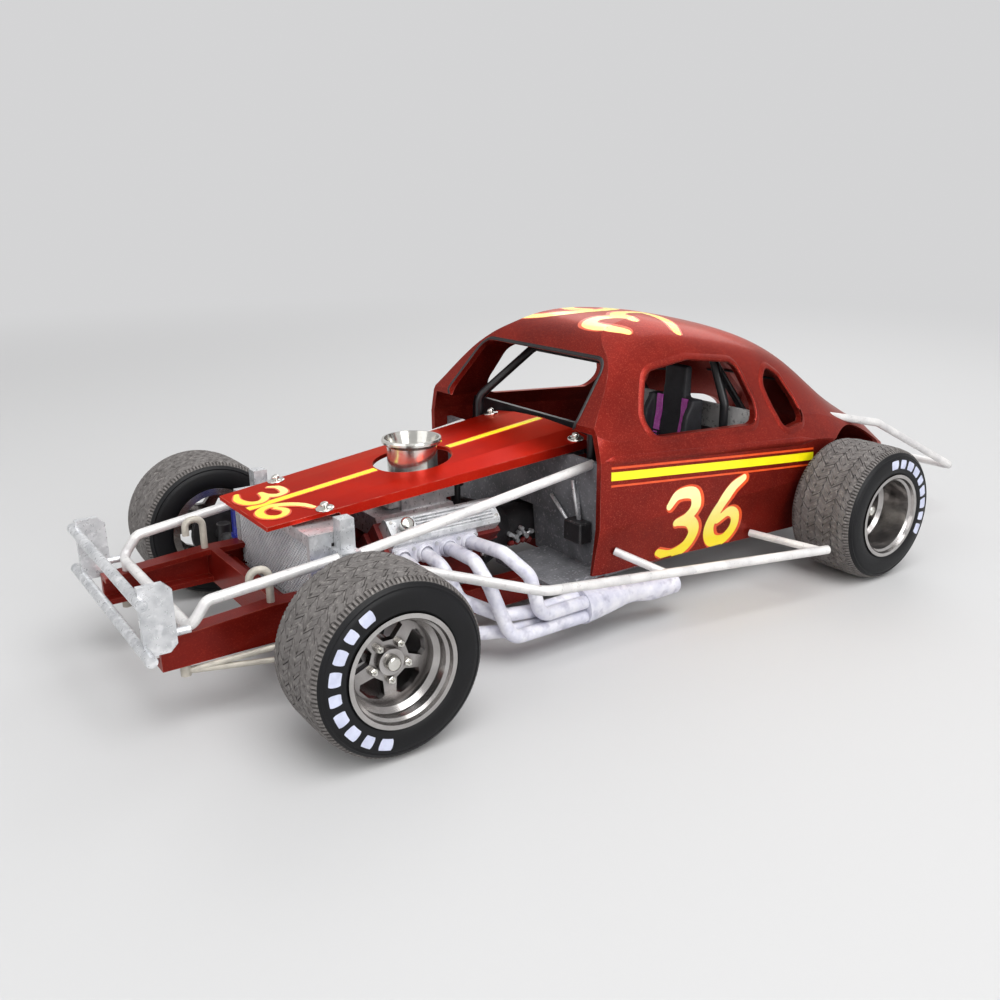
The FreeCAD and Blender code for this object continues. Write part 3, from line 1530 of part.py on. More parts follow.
dash_raw = box(
    "DashRaw",
    ("0 - dash_x - dash_thick", "0 - body_half", "dash_low"),
    ("dash_thick", "body_half*2", "dash_high - dash_low"),
)
dash_plate = common("DashInCabin", dash_raw, cabin)
gauges = [
    rod(
        "Gauge%d" % i,
        "x",
        "gauge_radius",
        "gauge_depth",
        ("0 - dash_x - dash_thick - gauge_depth", "seat_y + gauge_radius*2.6*%d" % (i - 1), "(dash_low + dash_high)/2"),
    )
    for i in range(3)
]
dash = cut("DashOpen", fuse("DashFused", dash_plate, *gauges), cage, tunnel_hole)
node("dashboard", [dash])
steering = solid("SteeringShape", ring.fuse(spokes + [boss, column]))
node("steering_wheel", [cut("SteeringSeated", steering, dash, firewall)])
link_box = box(
    "LinkBox",
    ("0 - firewall_x", "linkage_y", "linkage_z"),
    ("linkage_size", "linkage_size", "linkage_size"),
)
link_rod = bar(
    "LinkRod",
    ("0 - firewall_x + linkage_size*0.5", "linkage_y + linkage_size*0.3", "linkage_z + linkage_size/2"),
    ("0 - firewall_x - firewall_thick/2", "linkage_y - linkage_size", "linkage_z + linkage_size*4"),
    "rod_radius",
)
node("firewall", [fuse("FirewallWhole", fire_block, ledge, link_box, link_rod)])

# Front running gear: dropped tube axle, knuckles with stub pins, hairpin rods, tie rod, shocks.
knuckle_parts = [
    rod("King", "z", "king_radius", "king_half*2", ("0", "king_y", axle_z + " - king_half")),
    rod("Stub", "y", "stub_radius", "track_front/2 + rim_width/2 - dish_front - seat_gap - king_y", ("0", "king_y", axle_z)),
    rod("Backing", "y", "backing_radius", "backing_thick", ("0", "backing_y", axle_z)),
    bar("SteerArm", ("0", "king_y", axle_z + " - king_half*0.8"), ("0 - tie_x", "tie_y", "tie_z"), "tie_radius*1.3"),
]
knuckle = fuse("KnuckleFused", *knuckle_parts)
knuckle_right = mirror("KnuckleRight", knuckle)
beam = tube(
    "BeamTube",
    [
        ("0", "king_y", axle_z),
        ("0", "king_y - king_radius*1.4", axle_z),
        ("0", "beam_bend_y", "beam_z"),
        ("0", "0 - beam_bend_y", "beam_z"),
        ("0", "king_radius*1.4 - king_y", axle_z),
        ("0", "0 - king_y", axle_z),
    ],
    "beam_radius",
    "beam_radius*2",
)
wings = []
rods = []
for sign, word in (("", "Left"), ("0 - ", "Right")):
    edge = "batwing_y - batwing_thick/2" if sign == "" else "0 - batwing_y - batwing_thick/2"
    wings.append(
        box(
            "BatWing" + word,
            ("0 - batwing_wide/2", edge, "beam_z + beam_radius - batwing_half*0.9"),
            ("batwing_wide", "batwing_thick", "batwing_half*2"),
        )
    )
    for level, height in (("Low", "- batwing_half*0.6"), ("High", "+ batwing_half*0.8")):
        rods.append(
            bar(
                "Hairpin" + level + word,
                ("batwing_wide*0.4", sign + "(batwing_y - batwing_thick*0.2)", "beam_z + beam_radius " + height),
                ("hairpin_x", sign + "hairpin_y", "hairpin_z"),
                "hairpin_radius",
            )
        )
    rods.append(
        rod(
            "HairpinPeg" + word,
            "z",
            "hairpin_radius*1.7",
            "rail_nose_low - hairpin_z + hairpin_radius*1.4",
            ("hairpin_x", sign + "hairpin_y", "hairpin_z - hairpin_radius*1.4"),
        )
    )
axle_group = fuse("FrontAxleFused", beam, *wings)
front_axle = cut("FrontAxleSeated", axle_group, knuckle, knuckle_right)
node("front_axle", [front_axle])
node("radius_rods", [cut("HairpinsSeated", fuse("HairpinsFused", *rods), axle_group, frame_body)])
tie = rod("TieBar", "y", "tie_radius", "tie_y*2", ("0 - tie_x", "0 - tie_y", "tie_z"))
node("front_knuckles", [fuse("KnucklesJoined", knuckle, knuckle_right, tie)])
rail_middle = "(rail_inner + rail_outer)/2"
lever = tube(
    "ShockHook",
    [
        ("lever_x", rail_middle, "rail_front_top"),
        ("lever_x", rail_middle, "lever_top"),
        ("lever_x + lever_radius*1.5", rail_middle, "lever_top"),
        ("lever_x + lever_radius*1.5", rail_middle, "lever_top - lever_radius*1.3"),
    ],
    "rod_radius*1.7",
    "lever_radius*0.7",
)
coil = rod(
    "CoilBarrel",
    "z",
    "coil_radius",
    "coil_top - rail_front_top",
    ("0 - coil_x", "coil_y", "rail_front_top"),
)
coil_seat = box(
    "CoilSeat",
    ("0 - coil_x - coil_radius", "rail_outer", "rail_front_top - rail_flange"),
    ("coil_radius*2", "coil_y - rail_outer + coil_radius*0.6", "rail_flange"),
)
coil_unit = fuse("CoilFused", coil, coil_seat)
node("front_springs", [coil_unit, mirror("CoilRight", coil_unit)])
node("front_shocks", [lever, mirror("LeverRight", lever)])

# Rear running gear: live axle with its differential, shaft, trailing arms, shocks, fuel cell.
rear_axle_body = new_body("RearAxleBody")
half_places = [
    ("0", "track_rear/2 + rim_width/2 - dish_rear - seat_gap"),
    ("stub_radius", "track_rear/2 + rim_width/2 - dish_rear - seat_gap"),
    ("stub_radius", "rear_plate_y"),
    ("backing_radius", "rear_plate_y"),
    ("backing_radius", "rear_plate_y - backing_thick"),
    ("axle_radius", "rear_plate_y - backing_thick"),
    ("axle_radius", "diff_half"),
    ("diff_radius*0.72", "diff_half*0.66"),
    ("diff_radius", "diff_half*0.30"),
]
rear_places = half_places + [(a, "0 - (%s)" % b) for a, b in reversed(half_places)]
spin(rear_axle_body, "RearAxleSpin", "XY_Plane", rear_places, "V_Axis")
put(rear_axle_body, rear_x, "0", axle_z)
nose = rod(
    "PinionNose", "x", "tail_radius", "diff_radius*1.5", (rear_x, "0", axle_z)
)
rear_axle = fuse("RearAxleFused", rear_axle_body, nose)
node("rear_axle", [rear_axle])
shaft = bar("Shaft", ("0 - tail_back", "0", "crank_z"), (rear_x + " + diff_radius*1.5", "0", axle_z), "shaft_radius")
node("drive_shaft", [cut("ShaftSeated", shaft, gear_body, rear_axle)])
trail = bar(
    "TrailArm",
    ("0 - arm_front_x", "rail_outer + arm_radius", "(rail_low + rail_high)/2"),
    (rear_x, "arm_y", axle_z),
    "arm_radius",
)
trail_eye = rod(
    "TrailEye", "y", "arm_radius*1.7", "arm_radius*2.2", ("0 - arm_front_x", "rail_outer", "(rail_low + rail_high)/2")
)
trail_seated = cut("TrailSeated", fuse("TrailFused", trail, trail_eye), rear_axle, frame_body)
shock_bar = rod(
    "ShockBar",
    "y",
    "tube_radius",
    "(shock_y + shock_radius)*2",
    ("0 - shock_bar_x", "0 - shock_y - shock_radius", "rail_arch_top + tube_radius"),
)
shocks = [
    bar(
        "Shock" + word,
        ("0 - shock_bar_x", sign + "shock_y", "rail_arch_top + tube_radius"),
        (rear_x, sign + "shock_y", axle_z),
        "shock_radius",
    )
    for sign, word in (("", "Left"), ("0 - ", "Right"))
]
shocks_seated = cut("ShocksSeated", fuse("ShocksFused", shock_bar, *shocks), rear_axle)
node("rear_links", [trail_seated, mirror("TrailRight", trail_seated), shocks_seated])
cell = box(
    "CellBlock",
    ("0 - rail_tail_x + cross_width", "0 - cell_half", "cell_low"),
    ("rail_tail_x - tank_cross_x - cross_width", "cell_half*2", "cell_top - cell_low"),
)
doc.recompute()
cell_round = doc.addObject("Part::Fillet", "CellRound")
cell_round.Base = cell
cell_round.Edges = [(i + 1, num("cell_corner"), num("cell_corner")) for i in range(len(cell.Shape.Edges))]
node("fuel_cell", [cell_round])

doc.recompute()

bad = []
for item in doc.Objects:
    if "Invalid" in item.State or "Error" in item.State:
        bad.append((item.Name, item.State))
for name, item in nodes.items():
    if item.Shape.isNull() or not item.Shape.isValid() or not item.Shape.Solids:
        bad.append((name, "shape"))
if bad:
    raise SystemExit("failed: %s" % bad)
for name, item in nodes.items():
    item.Shape.exportStep("parts/%s.step" % name)
whole = Part.makeCompound([item.Shape for item in nodes.values()])
print(len(nodes), "nodes", whole.BoundBox)
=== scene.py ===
import math

import bmesh
import bpy
import numpy as np
from mathutils import Matrix, Vector
from mathutils.bvhtree import BVHTree


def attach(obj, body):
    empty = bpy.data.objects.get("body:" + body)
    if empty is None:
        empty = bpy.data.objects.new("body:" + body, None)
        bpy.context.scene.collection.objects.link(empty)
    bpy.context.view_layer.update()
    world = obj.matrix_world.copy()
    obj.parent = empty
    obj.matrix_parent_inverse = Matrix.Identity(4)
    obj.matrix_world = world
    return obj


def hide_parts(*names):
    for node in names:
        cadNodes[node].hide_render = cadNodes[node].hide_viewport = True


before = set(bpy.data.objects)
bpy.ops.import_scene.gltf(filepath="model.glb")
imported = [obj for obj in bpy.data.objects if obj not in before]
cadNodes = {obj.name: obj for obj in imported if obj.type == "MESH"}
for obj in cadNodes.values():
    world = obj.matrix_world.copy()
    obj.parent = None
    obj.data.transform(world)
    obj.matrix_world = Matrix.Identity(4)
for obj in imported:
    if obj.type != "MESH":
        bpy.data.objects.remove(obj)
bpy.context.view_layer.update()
mm = 0.001
axleX = 65.4  # the front axle, in front of the model's middle
wheelHigh = 13.1  # the wheels' centres over the ground
castFrom = 60  # a line that is dropped on a panel starts this far out
sides = ((1, "Left"), (-1, "Right"))
print("frame loaded:", len(cadNodes), "nodes")


def spot(x, y, z):
    # a place given from the front axle, in millimetres
    return Vector(((x + axleX) * mm, y * mm, z * mm))


def shade(red, green, blue):
    # a colour as a paint chart gives it, 0 to 255
    return tuple(((c / 255 + 0.055) / 1.055) ** 2.4 if c > 10 else c / 255 / 12.92
                 for c in (red, green, blue)) + (1,)


def addToScene(name, data):
    made = bpy.data.objects.new(name, data)
    bpy.context.scene.collection.objects.link(made)
    return made


# node trees: inputs go by name or number, a socket is linked and any other value is set
def wire(tree, node, inputs):
    for key, value in inputs.items():
        if isinstance(value, bpy.types.NodeSocket):
            tree.links.new(value, node.inputs[key])
        else:
            node.inputs[key].default_value = value
    return node


def addNode(tree, kind, inputs=None, **settings):
    node = tree.nodes.new(kind)
    for key, value in settings.items():
        setattr(node, key, value)
    return wire(tree, node, inputs or {})


def maths(tree, operation, first, second):
    return addNode(tree, "ShaderNodeMath", {0: first, 1: second}, operation=operation).outputs[0]


def mixColour(tree, factor, first, second):
    return addNode(tree, "ShaderNodeMix", {0: factor, 6: first, 7: second}, data_type="RGBA").outputs[2]


def mapTo(tree, value, source, target=(0.0, 1.0), **settings):
    ends = dict(enumerate((value, *source, *target)))
    return addNode(tree, "ShaderNodeMapRange", ends, **settings).outputs[0]


def noiseAt(tree, coords, scale, detail=3.0, rough=0.55):
    inputs = {"Vector": coords, "Scale": scale, "Detail": detail, "Roughness": rough}
    return addNode(tree, "ShaderNodeTexNoise", inputs).outputs["Fac"]


def bumpFrom(tree, height, strength, depth):
    inputs = {"Strength": strength, "Distance": depth * mm, "Height": height}
    return addNode(tree, "ShaderNodeBump", inputs).outputs[0]


def newMaterial(name):
    material = bpy.data.materials.new(name)
    material.use_nodes = True
    tree = material.node_tree
    return material, tree, tree.nodes["Principled BSDF"], addNode(tree, "ShaderNodeTexCoord").outputs["Object"]


# camera, lamps and floor
cameraLook = {
    "place": (55.7, 144.4, 72.6), "yaw": -124.94, "pitch": -17.31, "roll": -0.56,
    "lens": 35.07, "sensor": 36, "nearest": 0.005,
}


def makeCamera(look):
    yaw, pitch, roll = (math.radians(look[k]) for k in ("yaw", "pitch", "roll"))
    ahead = Vector((math.cos(yaw) * math.cos(pitch), math.sin(yaw) * math.cos(pitch), math.sin(pitch)))
    right = ahead.cross(Vector((0, 0, 1))).normalized()
    over = right.cross(ahead)
    tiltRight = right * math.cos(roll) + over * math.sin(roll)
    tiltOver = over * math.cos(roll) - right * math.sin(roll)
    lens = bpy.data.cameras.new("photoCamera")
    lens.lens = look["lens"]
    lens.sensor_width = look["sensor"]
    lens.clip_start = look["nearest"]
    camera = addToScene("photoCamera", lens)
    turn = Matrix((tiltRight, tiltOver, -ahead)).transposed().to_4x4()
    camera.matrix_world = Matrix.Translation(spot(*look["place"])) @ turn
    bpy.context.scene.camera = camera


studio = {
    "lamps": {  # place in metres, size, power
        "key": ((0.05, 0.30, 0.62), 0.55, 3.7),
        "fill": ((0.60, 0.10, 0.30), 0.50, 0.9),
        "back": ((-0.45, -0.35, 0.42), 0.45, 1.3),
        "side": ((0.02, 0.70, 0.26), 0.35, 1.9),
    },
    "aim": (0, 0, 0.02), "world": (0.34, 0.62), "worldRise": (-0.1, 0.7),
    "floorColour": 0.57, "floorRough": 0.7, "farColour": 0.66, "fade": (0.2, 0.6), "reach": 4.0,
}


def seenRays(tree):
    # 1 for what the camera sees, straight, in a shine or through glass
    path = addNode(tree, "ShaderNodeLightPath").outputs
    both = maths(tree, "MAXIMUM", path["Is Camera Ray"], path["Is Glossy Ray"])
    return maths(tree, "MAXIMUM", both, path["Is Transmission Ray"])


def makeStudio(look):
    for name, (place, size, power) in look["lamps"].items():
        lamp = bpy.data.lights.new(name + "Lamp", "AREA")
        lamp.size = size
        lamp.energy = power
        aim = Vector(look["aim"]) - Vector(place)
        turn = aim.to_track_quat("-Z", "Y").to_matrix().to_4x4()
        addToScene(name + "Lamp", lamp).matrix_world = Matrix.Translation(place) @ turn

    far = (look["farColour"], look["farColour"], look["farColour"] * 1.01, 1)
    world = bpy.data.worlds.new("studioWorld")
    world.use_nodes = True
    bpy.context.scene.world = world
    tree = world.node_tree
    tree.nodes.clear()
    coords = addNode(tree, "ShaderNodeTexCoord").outputs["Generated"]
    height = addNode(tree, "ShaderNodeSeparateXYZ", {0: coords}).outputs["Z"]
    soft = addNode(tree, "ShaderNodeBackground",
                   {"Strength": mapTo(tree, height, look["worldRise"], look["world"])})
    plain = addNode(tree, "ShaderNodeBackground", {"Color": far})
    mix = addNode(tree, "ShaderNodeMixShader", {0: seenRays(tree), 1: soft.outputs[0], 2: plain.outputs[0]})
    addNode(tree, "ShaderNodeOutputWorld", {0: mix.outputs[0]})

    mesh = bpy.data.meshes.new("studioFloor")
    corners = [(x * look["reach"], y * look["reach"], 0) for x, y in ((-1, -1), (1, -1), (1, 1), (-1, 1))]
    mesh.from_pydata(corners, [], [(0, 1, 2, 3)])
    floor = addToScene("studioFloor", mesh)
    material, tree, shader, coords = newMaterial("floorPaper")
    grey = look["floorColour"]
    wire(tree, shader, {"Base Color": (grey, grey, grey * 1.005, 1), "Roughness": look["floorRough"]})
    away = addNode(tree, "ShaderNodeVectorMath", {0: coords}, operation="LENGTH").outputs["Value"]
    fade = mapTo(tree, away, look["fade"], interpolation_type="SMOOTHSTEP")
    seen = maths(tree, "MULTIPLY", fade, seenRays(tree))
    paper = addNode(tree, "ShaderNodeEmission", {"Color": far})
    blend = addNode(tree, "ShaderNodeMixShader", {0: seen, 1: shader.outputs[0], 2: paper.outputs[0]})
    wire(tree, tree.nodes["Material Output"], {"Surface": blend.outputs[0]})
    mesh.materials.append(material)


makeCamera(cameraLook)
makeStudio(studio)
bpy.context.scene.view_settings.view_transform = "Standard"
print("camera, lamps and floor set")


# finishes: rows of three numbers are paint chart colours
def painted(look):
    return {k: shade(*v) if isinstance(v, tuple) and len(v) == 3 else v for k, v in look.items()}


grainRange = (0.3, 0.7)  # where most of a noise lies
plainLook = {  # what a finish takes unless it says otherwise
    "patch": 160, "patchRange": (0.38, 0.64), "speckRange": (0.58, 0.68), "speckAmount": 0.7,
    "wearAmount": 0.8, "hollowRange": (0.25, 0.85), "grain": 2600, "bump": 0.15, "bumpDepth": 0.05,
    "metallic": 0.0, "coat": 0.0, "coatRough": 0.05, "specular": 0.5,
}
plainWear = {"radius": 0.15, "bend": (0.985, 0.86), "scale": 420, "breaks": (0.40, 0.62), "least": 0.15}
# the reds' lighter edges are partly worn paint and partly painted highlight
candyEdgeWearAndHighlight = {"radius": 0.22, "bend": (0.98, 0.80), "scale": 330, "breaks": (0.42, 0.66), "least": 0.06}


def wornEdges(tree, coords, colour, edgeWearAndHighlightColour, most, wear):
    # lightens the edges: worn paint on every finish, and on the reds a painted highlight as well; edges are
    # where a rounded normal leaves the flat one
    bevel = addNode(tree, "ShaderNodeBevel", {"Radius": wear["radius"] * mm}, samples=4).outputs[0]
    flat = addNode(tree, "ShaderNodeNewGeometry").outputs["Normal"]
    dot = addNode(tree, "ShaderNodeVectorMath", {0: bevel, 1: flat}, operation="DOT_PRODUCT").outputs["Value"]
    broken = mapTo(tree, noiseAt(tree, coords, wear["scale"]), wear["breaks"], (wear["least"], most))
    return mixColour(tree, maths(tree, "MULTIPLY", mapTo(tree, dot, wear["bend"]), broken), colour, edgeWearAndHighlightColour)


def makeFinish(name, look):
    look = {**plainLook, **painted(look)}
    material, tree, shader, coords = newMaterial(name)
    patches = mapTo(tree, noiseAt(tree, coords, look["patch"], 4.0), look["patchRange"])
    colour = mixColour(tree, patches, look["colour"], look["second"])
    if "speck" in look:
        specks = noiseAt(tree, coords, look["speckScale"], 2.0, 0.6)
        share = mapTo(tree, specks, look["speckRange"], (0.0, look["speckAmount"]))
        colour = mixColour(tree, share, colour, look["speck"])
    if "wear" in look:
        colour = wornEdges(tree, coords, colour, look["wear"], look["wearAmount"], plainWear)
    # painted shade: ambient occlusion darkens the colour in recesses and hollows
    if "hollow" in look:
        shadeInRecesses = addNode(tree, "ShaderNodeAmbientOcclusion", {"Distance": look["hollowReach"] * mm},
                          samples=8)
        share = mapTo(tree, shadeInRecesses.outputs["AO"], look["hollowRange"], (look["hollowAmount"], 0.0))
        colour = mixColour(tree, share, colour, look["hollow"])
    grain = noiseAt(tree, coords, look["grain"], 3.0, 0.6)
    wire(tree, shader, {
        "Base Color": colour, "Roughness": mapTo(tree, grain, grainRange, look["rough"]),
        "Normal": bumpFrom(tree, grain, look["bump"], look["bumpDepth"]), "Metallic": look["metallic"],
        "Coat Weight": look["coat"], "Coat Roughness": look["coatRough"],
        "Specular IOR Level": look["specular"],
    })
    return material


plainCandy = {  # what the reds share
    "cloud": 90, "cloudRange": (0.35, 0.65), "shineRange": (0.80, 1.0), "tipDepth": 0.02, "peelScale": 700,
    "peel": 0.06, "peelDepth": 0.04, "rough": (0.30, 0.42), "coatRough": 0.16, "specular": 0.3,
}


def makeCandy(name, look):
    # clear coat over a red with fine metal flakes, each flake tipped its own way; the edges are lightened with
    # worn paint and a painted highlight
    look = {**plainCandy, **painted(look)}
    material, tree, shader, coords = newMaterial(name)
    flakes = addNode(tree, "ShaderNodeTexVoronoi", {"Vector": coords, "Scale": look["flakeScale"]})
    flake = addNode(tree, "ShaderNodeSeparateColor", {0: flakes.outputs["Color"]}).outputs
    cloud = noiseAt(tree, coords, look["cloud"])
    colour = mixColour(tree, mapTo(tree, cloud, look["cloudRange"]), look["deep"], look["red"])
    shine = mapTo(tree, flake[0], look["shineRange"], (0.0, look["flakeAmount"]))
    colour = mixColour(tree, shine, colour, look["flake"])
    peel = noiseAt(tree, coords, look["peelScale"], 2.0)
    wire(tree, shader, {
        "Base Color": wornEdges(tree, coords, colour, look["edge"], look["edgeWearAndHighlightAmount"], candyEdgeWearAndHighlight),
        "Normal": bumpFrom(tree, flake[1], look["flakeTip"], look["tipDepth"]),
        "Coat Normal": bumpFrom(tree, peel, look["peel"], look["peelDepth"]),
        "Roughness": mapTo(tree, cloud, grainRange, look["rough"]), "Metallic": look["metallic"],
        "Coat Weight": look["coat"], "Coat Roughness": look["coatRough"],
        "Specular IOR Level": look["specular"], "Specular Tint": look["sheen"],
    })
    return material


letterLook = {
    "top": (255, 246, 176), "foot": (250, 228, 14), "mottle": (255, 190, 30), "mottleScale": 900,
    "mottleRange": (0.35, 0.7), "mottleAmount": 0.10, "grain": 1800, "rough": (0.30, 0.45),
    "coat": 0.5, "coatRough": 0.1,
}


def makeLetterPaint(name, axis, fade, look):
    # sign paint that fades from a pale top to a strong foot
    look = painted(look)
    material, tree, shader, coords = newMaterial(name)
    along = addNode(tree, "ShaderNodeSeparateXYZ", {0: coords}).outputs[axis]
    colour = mixColour(tree, mapTo(tree, along, fade), look["foot"], look["top"])
    mottle = mapTo(tree, noiseAt(tree, coords, look["mottleScale"]), look["mottleRange"],
                   (0.0, look["mottleAmount"]))
    wire(tree, shader, {
        "Base Color": mixColour(tree, mottle, colour, look["mottle"]),
        "Roughness": mapTo(tree, noiseAt(tree, coords, look["grain"]), grainRange, look["rough"]),
        "Coat Weight": look["coat"], "Coat Roughness": look["coatRough"],
    })
    return material


finishLooks = {
    "tubeSilver": {
        "colour": (232, 230, 228), "second": (208, 206, 206), "patch": 260, "metallic": 0.2,
        "rough": (0.26, 0.44),
        "speck": (140, 138, 138), "speckScale": 900, "speckRange": (0.64, 0.76), "speckAmount": 0.4,
        "grain": 3000, "bump": 0.2,
    },
    "plateSilver": {
        "colour": (214, 215, 217), "second": (184, 186, 189), "patch": 420, "metallic": 0.5,
        "rough": (0.24, 0.42),
        "speck": (240, 240, 242), "speckScale": 700, "speckRange": (0.54, 0.68), "speckAmount": 0.6,
        "grain": 1500, "bump": 0.18,
    },
    "wheelSilver": {
        "colour": (188, 185, 183), "second": (166, 162, 160), "patch": 220, "metallic": 0.95,
        "rough": (0.19, 0.25),
        # painted shade: darker in the wheel's dish and round the hub
        "hollow": (48, 39, 37), "hollowReach": 5.0, "hollowAmount": 0.9, "grain": 900, "bump": 0.02,
    },
    "brightPlate": {
        "colour": (222, 220, 214), "second": (200, 198, 192), "patch": 150, "metallic": 0.95,
        "rough": (0.12, 0.24), "grain": 2400, "bump": 0.08,
    },
    "headerWhite": {
        "colour": (232, 231, 237), "second": (204, 204, 218), "patch": 330, "metallic": 0.05,
        "rough": (0.40, 0.60),
        "speck": (116, 112, 142), "speckScale": 520, "speckRange": (0.52, 0.80), "speckAmount": 0.6,
        "grain": 1700, "bump": 0.35,
    },
    "darkGrey": {
        "colour": (128, 129, 133), "second": (100, 101, 105), "patch": 210, "metallic": 0.1,
        "rough": (0.45, 0.65),
        "speck": (186, 187, 190), "speckScale": 1700, "speckRange": (0.58, 0.70), "speckAmount": 0.55,
        "bump": 0.35,
    },
    "stoneGrey": {
        "colour": (206, 205, 204), "second": (176, 175, 175), "patch": 240, "rough": (0.55, 0.75),
        "speck": (96, 94, 94), "speckScale": 1300, "speckRange": (0.56, 0.66), "bump": 0.35,
    },
    "cageBlack": {
        "colour": (20, 20, 22), "second": (30, 30, 33), "patch": 260, "rough": (0.28, 0.44), "grain": 2200,
        "wear": (120, 120, 124), "wearAmount": 0.3,
    },
    "seatBlack": {
        "colour": (34, 34, 38), "second": (46, 46, 51), "patch": 300, "rough": (0.48, 0.66), "grain": 1900,
        "bump": 0.5, "wear": (92, 92, 98), "wearAmount": 0.35,
    },
    "engineRed": {
        "colour": (122, 26, 22), "second": (84, 16, 16), "patch": 300, "metallic": 0.1, "rough": (0.38, 0.56),
        "grain": 1700, "bump": 0.4, "wear": (176, 92, 82), "wearAmount": 0.5,
    },
    "partsBlack": {
        "colour": (30, 29, 31), "second": (44, 42, 44), "patch": 420, "metallic": 0.1, "rough": (0.35, 0.55),
        "speck": (128, 124, 124), "speckScale": 800, "speckRange": (0.64, 0.74), "speckAmount": 0.5,
        "grain": 1700, "bump": 0.4, "wear": (168, 166, 166), "wearAmount": 0.55,
    },
    "springBlue": {
        "colour": (38, 52, 178), "second": (28, 34, 128), "patch": 500, "metallic": 0.1, "rough": (0.25, 0.4),
        "grain": 2200, "bump": 0.2, "wear": (150, 160, 232), "wearAmount": 0.6,
    },
    "palePlastic": {
        "colour": (196, 190, 178), "second": (166, 160, 150), "patch": 380, "metallic": 0.15,
        "rough": (0.4, 0.58), "grain": 1900, "bump": 0.3, "wear": (236, 232, 222), "wearAmount": 0.5,
    },
    "coreGrey": {
        "colour": (236, 238, 241), "second": (216, 219, 224), "patch": 260, "metallic": 0.1,
        "rough": (0.35, 0.55), "grain": 2400, "bump": 0.2,
    },
    "coreDark": {"colour": (98, 100, 104), "second": (80, 82, 86), "rough": (0.5, 0.7), "bump": 0.3},
    "wallRubber": {
        "colour": (9, 9, 11), "second": (15, 15, 18), "patch": 130, "rough": (0.40, 0.52), "grain": 3200,
        "bump": 0.06, "specular": 0.26,
    },
    "treadRubber": {
        "colour": (112, 108, 106), "second": (94, 90, 88), "patch": 520, "rough": (0.72, 0.92), "grain": 2300,
        "bump": 0.6, "speck": (150, 145, 141), "speckScale": 1500, "speckRange": (0.54, 0.70),
        "speckAmount": 0.6,
    },
    "grooveRubber": {
        "colour": (66, 63, 61), "second": (84, 80, 78), "patch": 420, "rough": (0.8, 0.95), "grain": 2300,
        "bump": 0.4,
    },
    "markWhite": {
        "colour": (206, 210, 230), "second": (186, 190, 212), "patch": 500, "rough": (0.45, 0.6),
        "grain": 2200, "bump": 0.25,
    },
    "beltPurple": {
        "colour": (240, 122, 226), "second": (218, 96, 204), "patch": 700, "rough": (0.6, 0.8), "grain": 5200,
        "bump": 0.6, "speck": (252, 176, 244), "speckScale": 1900, "speckRange": (0.55, 0.7),
        "speckAmount": 0.45,
    },
    "lineOrange": {
        "colour": (236, 84, 22), "second": (222, 70, 18), "patch": 500, "rough": (0.34, 0.46), "coat": 0.2,
        "grain": 1800, "bump": 0.05,
    },
    "stripeYellow": {
        "colour": (255, 240, 8), "second": (252, 230, 6), "patch": 260, "rough": (0.34, 0.46), "coat": 0.2,
        "grain": 1800, "bump": 0.05,
    },
    "rubberTrim": {
        "colour": (26, 22, 24), "second": (36, 31, 33), "patch": 500, "rough": (0.4, 0.6), "grain": 2200,
        "bump": 0.25,
    },
}
# in each red, edge is the colour of its edges: worn paint and a painted highlight
candyLooks = {
    "candyRed": {
        "red": (140, 34, 25), "deep": (116, 26, 20), "flake": (214, 96, 72), "edge": (222, 142, 128),
        "edgeWearAndHighlightAmount": 0.45, "flakeScale": 7800, "flakeAmount": 0.34, "flakeTip": 0.3, "metallic": 0.66,
        "coat": 0.18, "sheen": (1.0, 0.45, 0.35, 1.0),
    },
    # a lit copy of the red for the hood: painted light, as on a panel facing up to the lamp
    "candyRedPaintedLight": {
        "red": (206, 36, 18), "deep": (184, 27, 13), "flake": (222, 88, 56), "edge": (238, 160, 146),
        "edgeWearAndHighlightAmount": 0.9, "flakeScale": 8600, "flakeAmount": 0.22, "flakeTip": 0.2, "metallic": 0.8,
        "coat": 0.07, "sheen": (1.0, 0.44, 0.22, 1.0),
    },
    # a shaded copy of the red for the frame: painted shade, as if it reflected a dark floor
    "candyRedPaintedShade": {
        "red": (124, 25, 17), "deep": (98, 18, 13), "flake": (196, 72, 50), "edge": (226, 120, 96),
        "edgeWearAndHighlightAmount": 0.6, "flakeScale": 8600, "flakeAmount": 0.2, "flakeTip": 0.2, "metallic": 0.45,
        "coat": 0.2, "sheen": (1.0, 0.45, 0.35, 1.0),
    },
}
finishes = {name: makeFinish(name, look) for name, look in finishLooks.items()}
finishes.update({name: makeCandy(name, look) for name, look in candyLooks.items()})
print("finishes mixed:", len(finishes))

nodesByFinish = {
    "candyRed": "coupe_body",
    # the hood takes the red's lit copy and the frame its shaded copy: painted light and painted shade
    "candyRedPaintedLight": "hood_panel",
    "candyRedPaintedShade": "frame",
    "engineRed": "engine_block cylinder_heads",
    "plateSilver": "front_bumper radiator radiator_brackets valve_covers intake_manifold carburettor",
    "tubeSilver": "front_hoop side_bars rear_bumper brace_bars drive_shaft",
    "coreDark": "radiator_core",
    "brightPlate": "velocity_stack",
    "headerWhite": "exhaust_headers",
    "partsBlack": "engine_mounts front_drive gearbox front_axle front_knuckles rear_axle rear_links",
    "cageBlack": "distributor roll_cage steering_wheel dashboard fuel_cell",
    "darkGrey": "floor_pan firewall",
    "stoneGrey": "rear_bulkhead",
    "seatBlack": "seat",
    "beltPurple": "seat_belts",
    "palePlastic": "radius_rods front_shocks",
    "springBlue": "front_springs",
    "wheelSilver": "wheel_front_left wheel_front_right wheel_rear_left wheel_rear_right",
    "wallRubber": "tyre_front_left tyre_front_right tyre_rear_left tyre_rear_right",
}
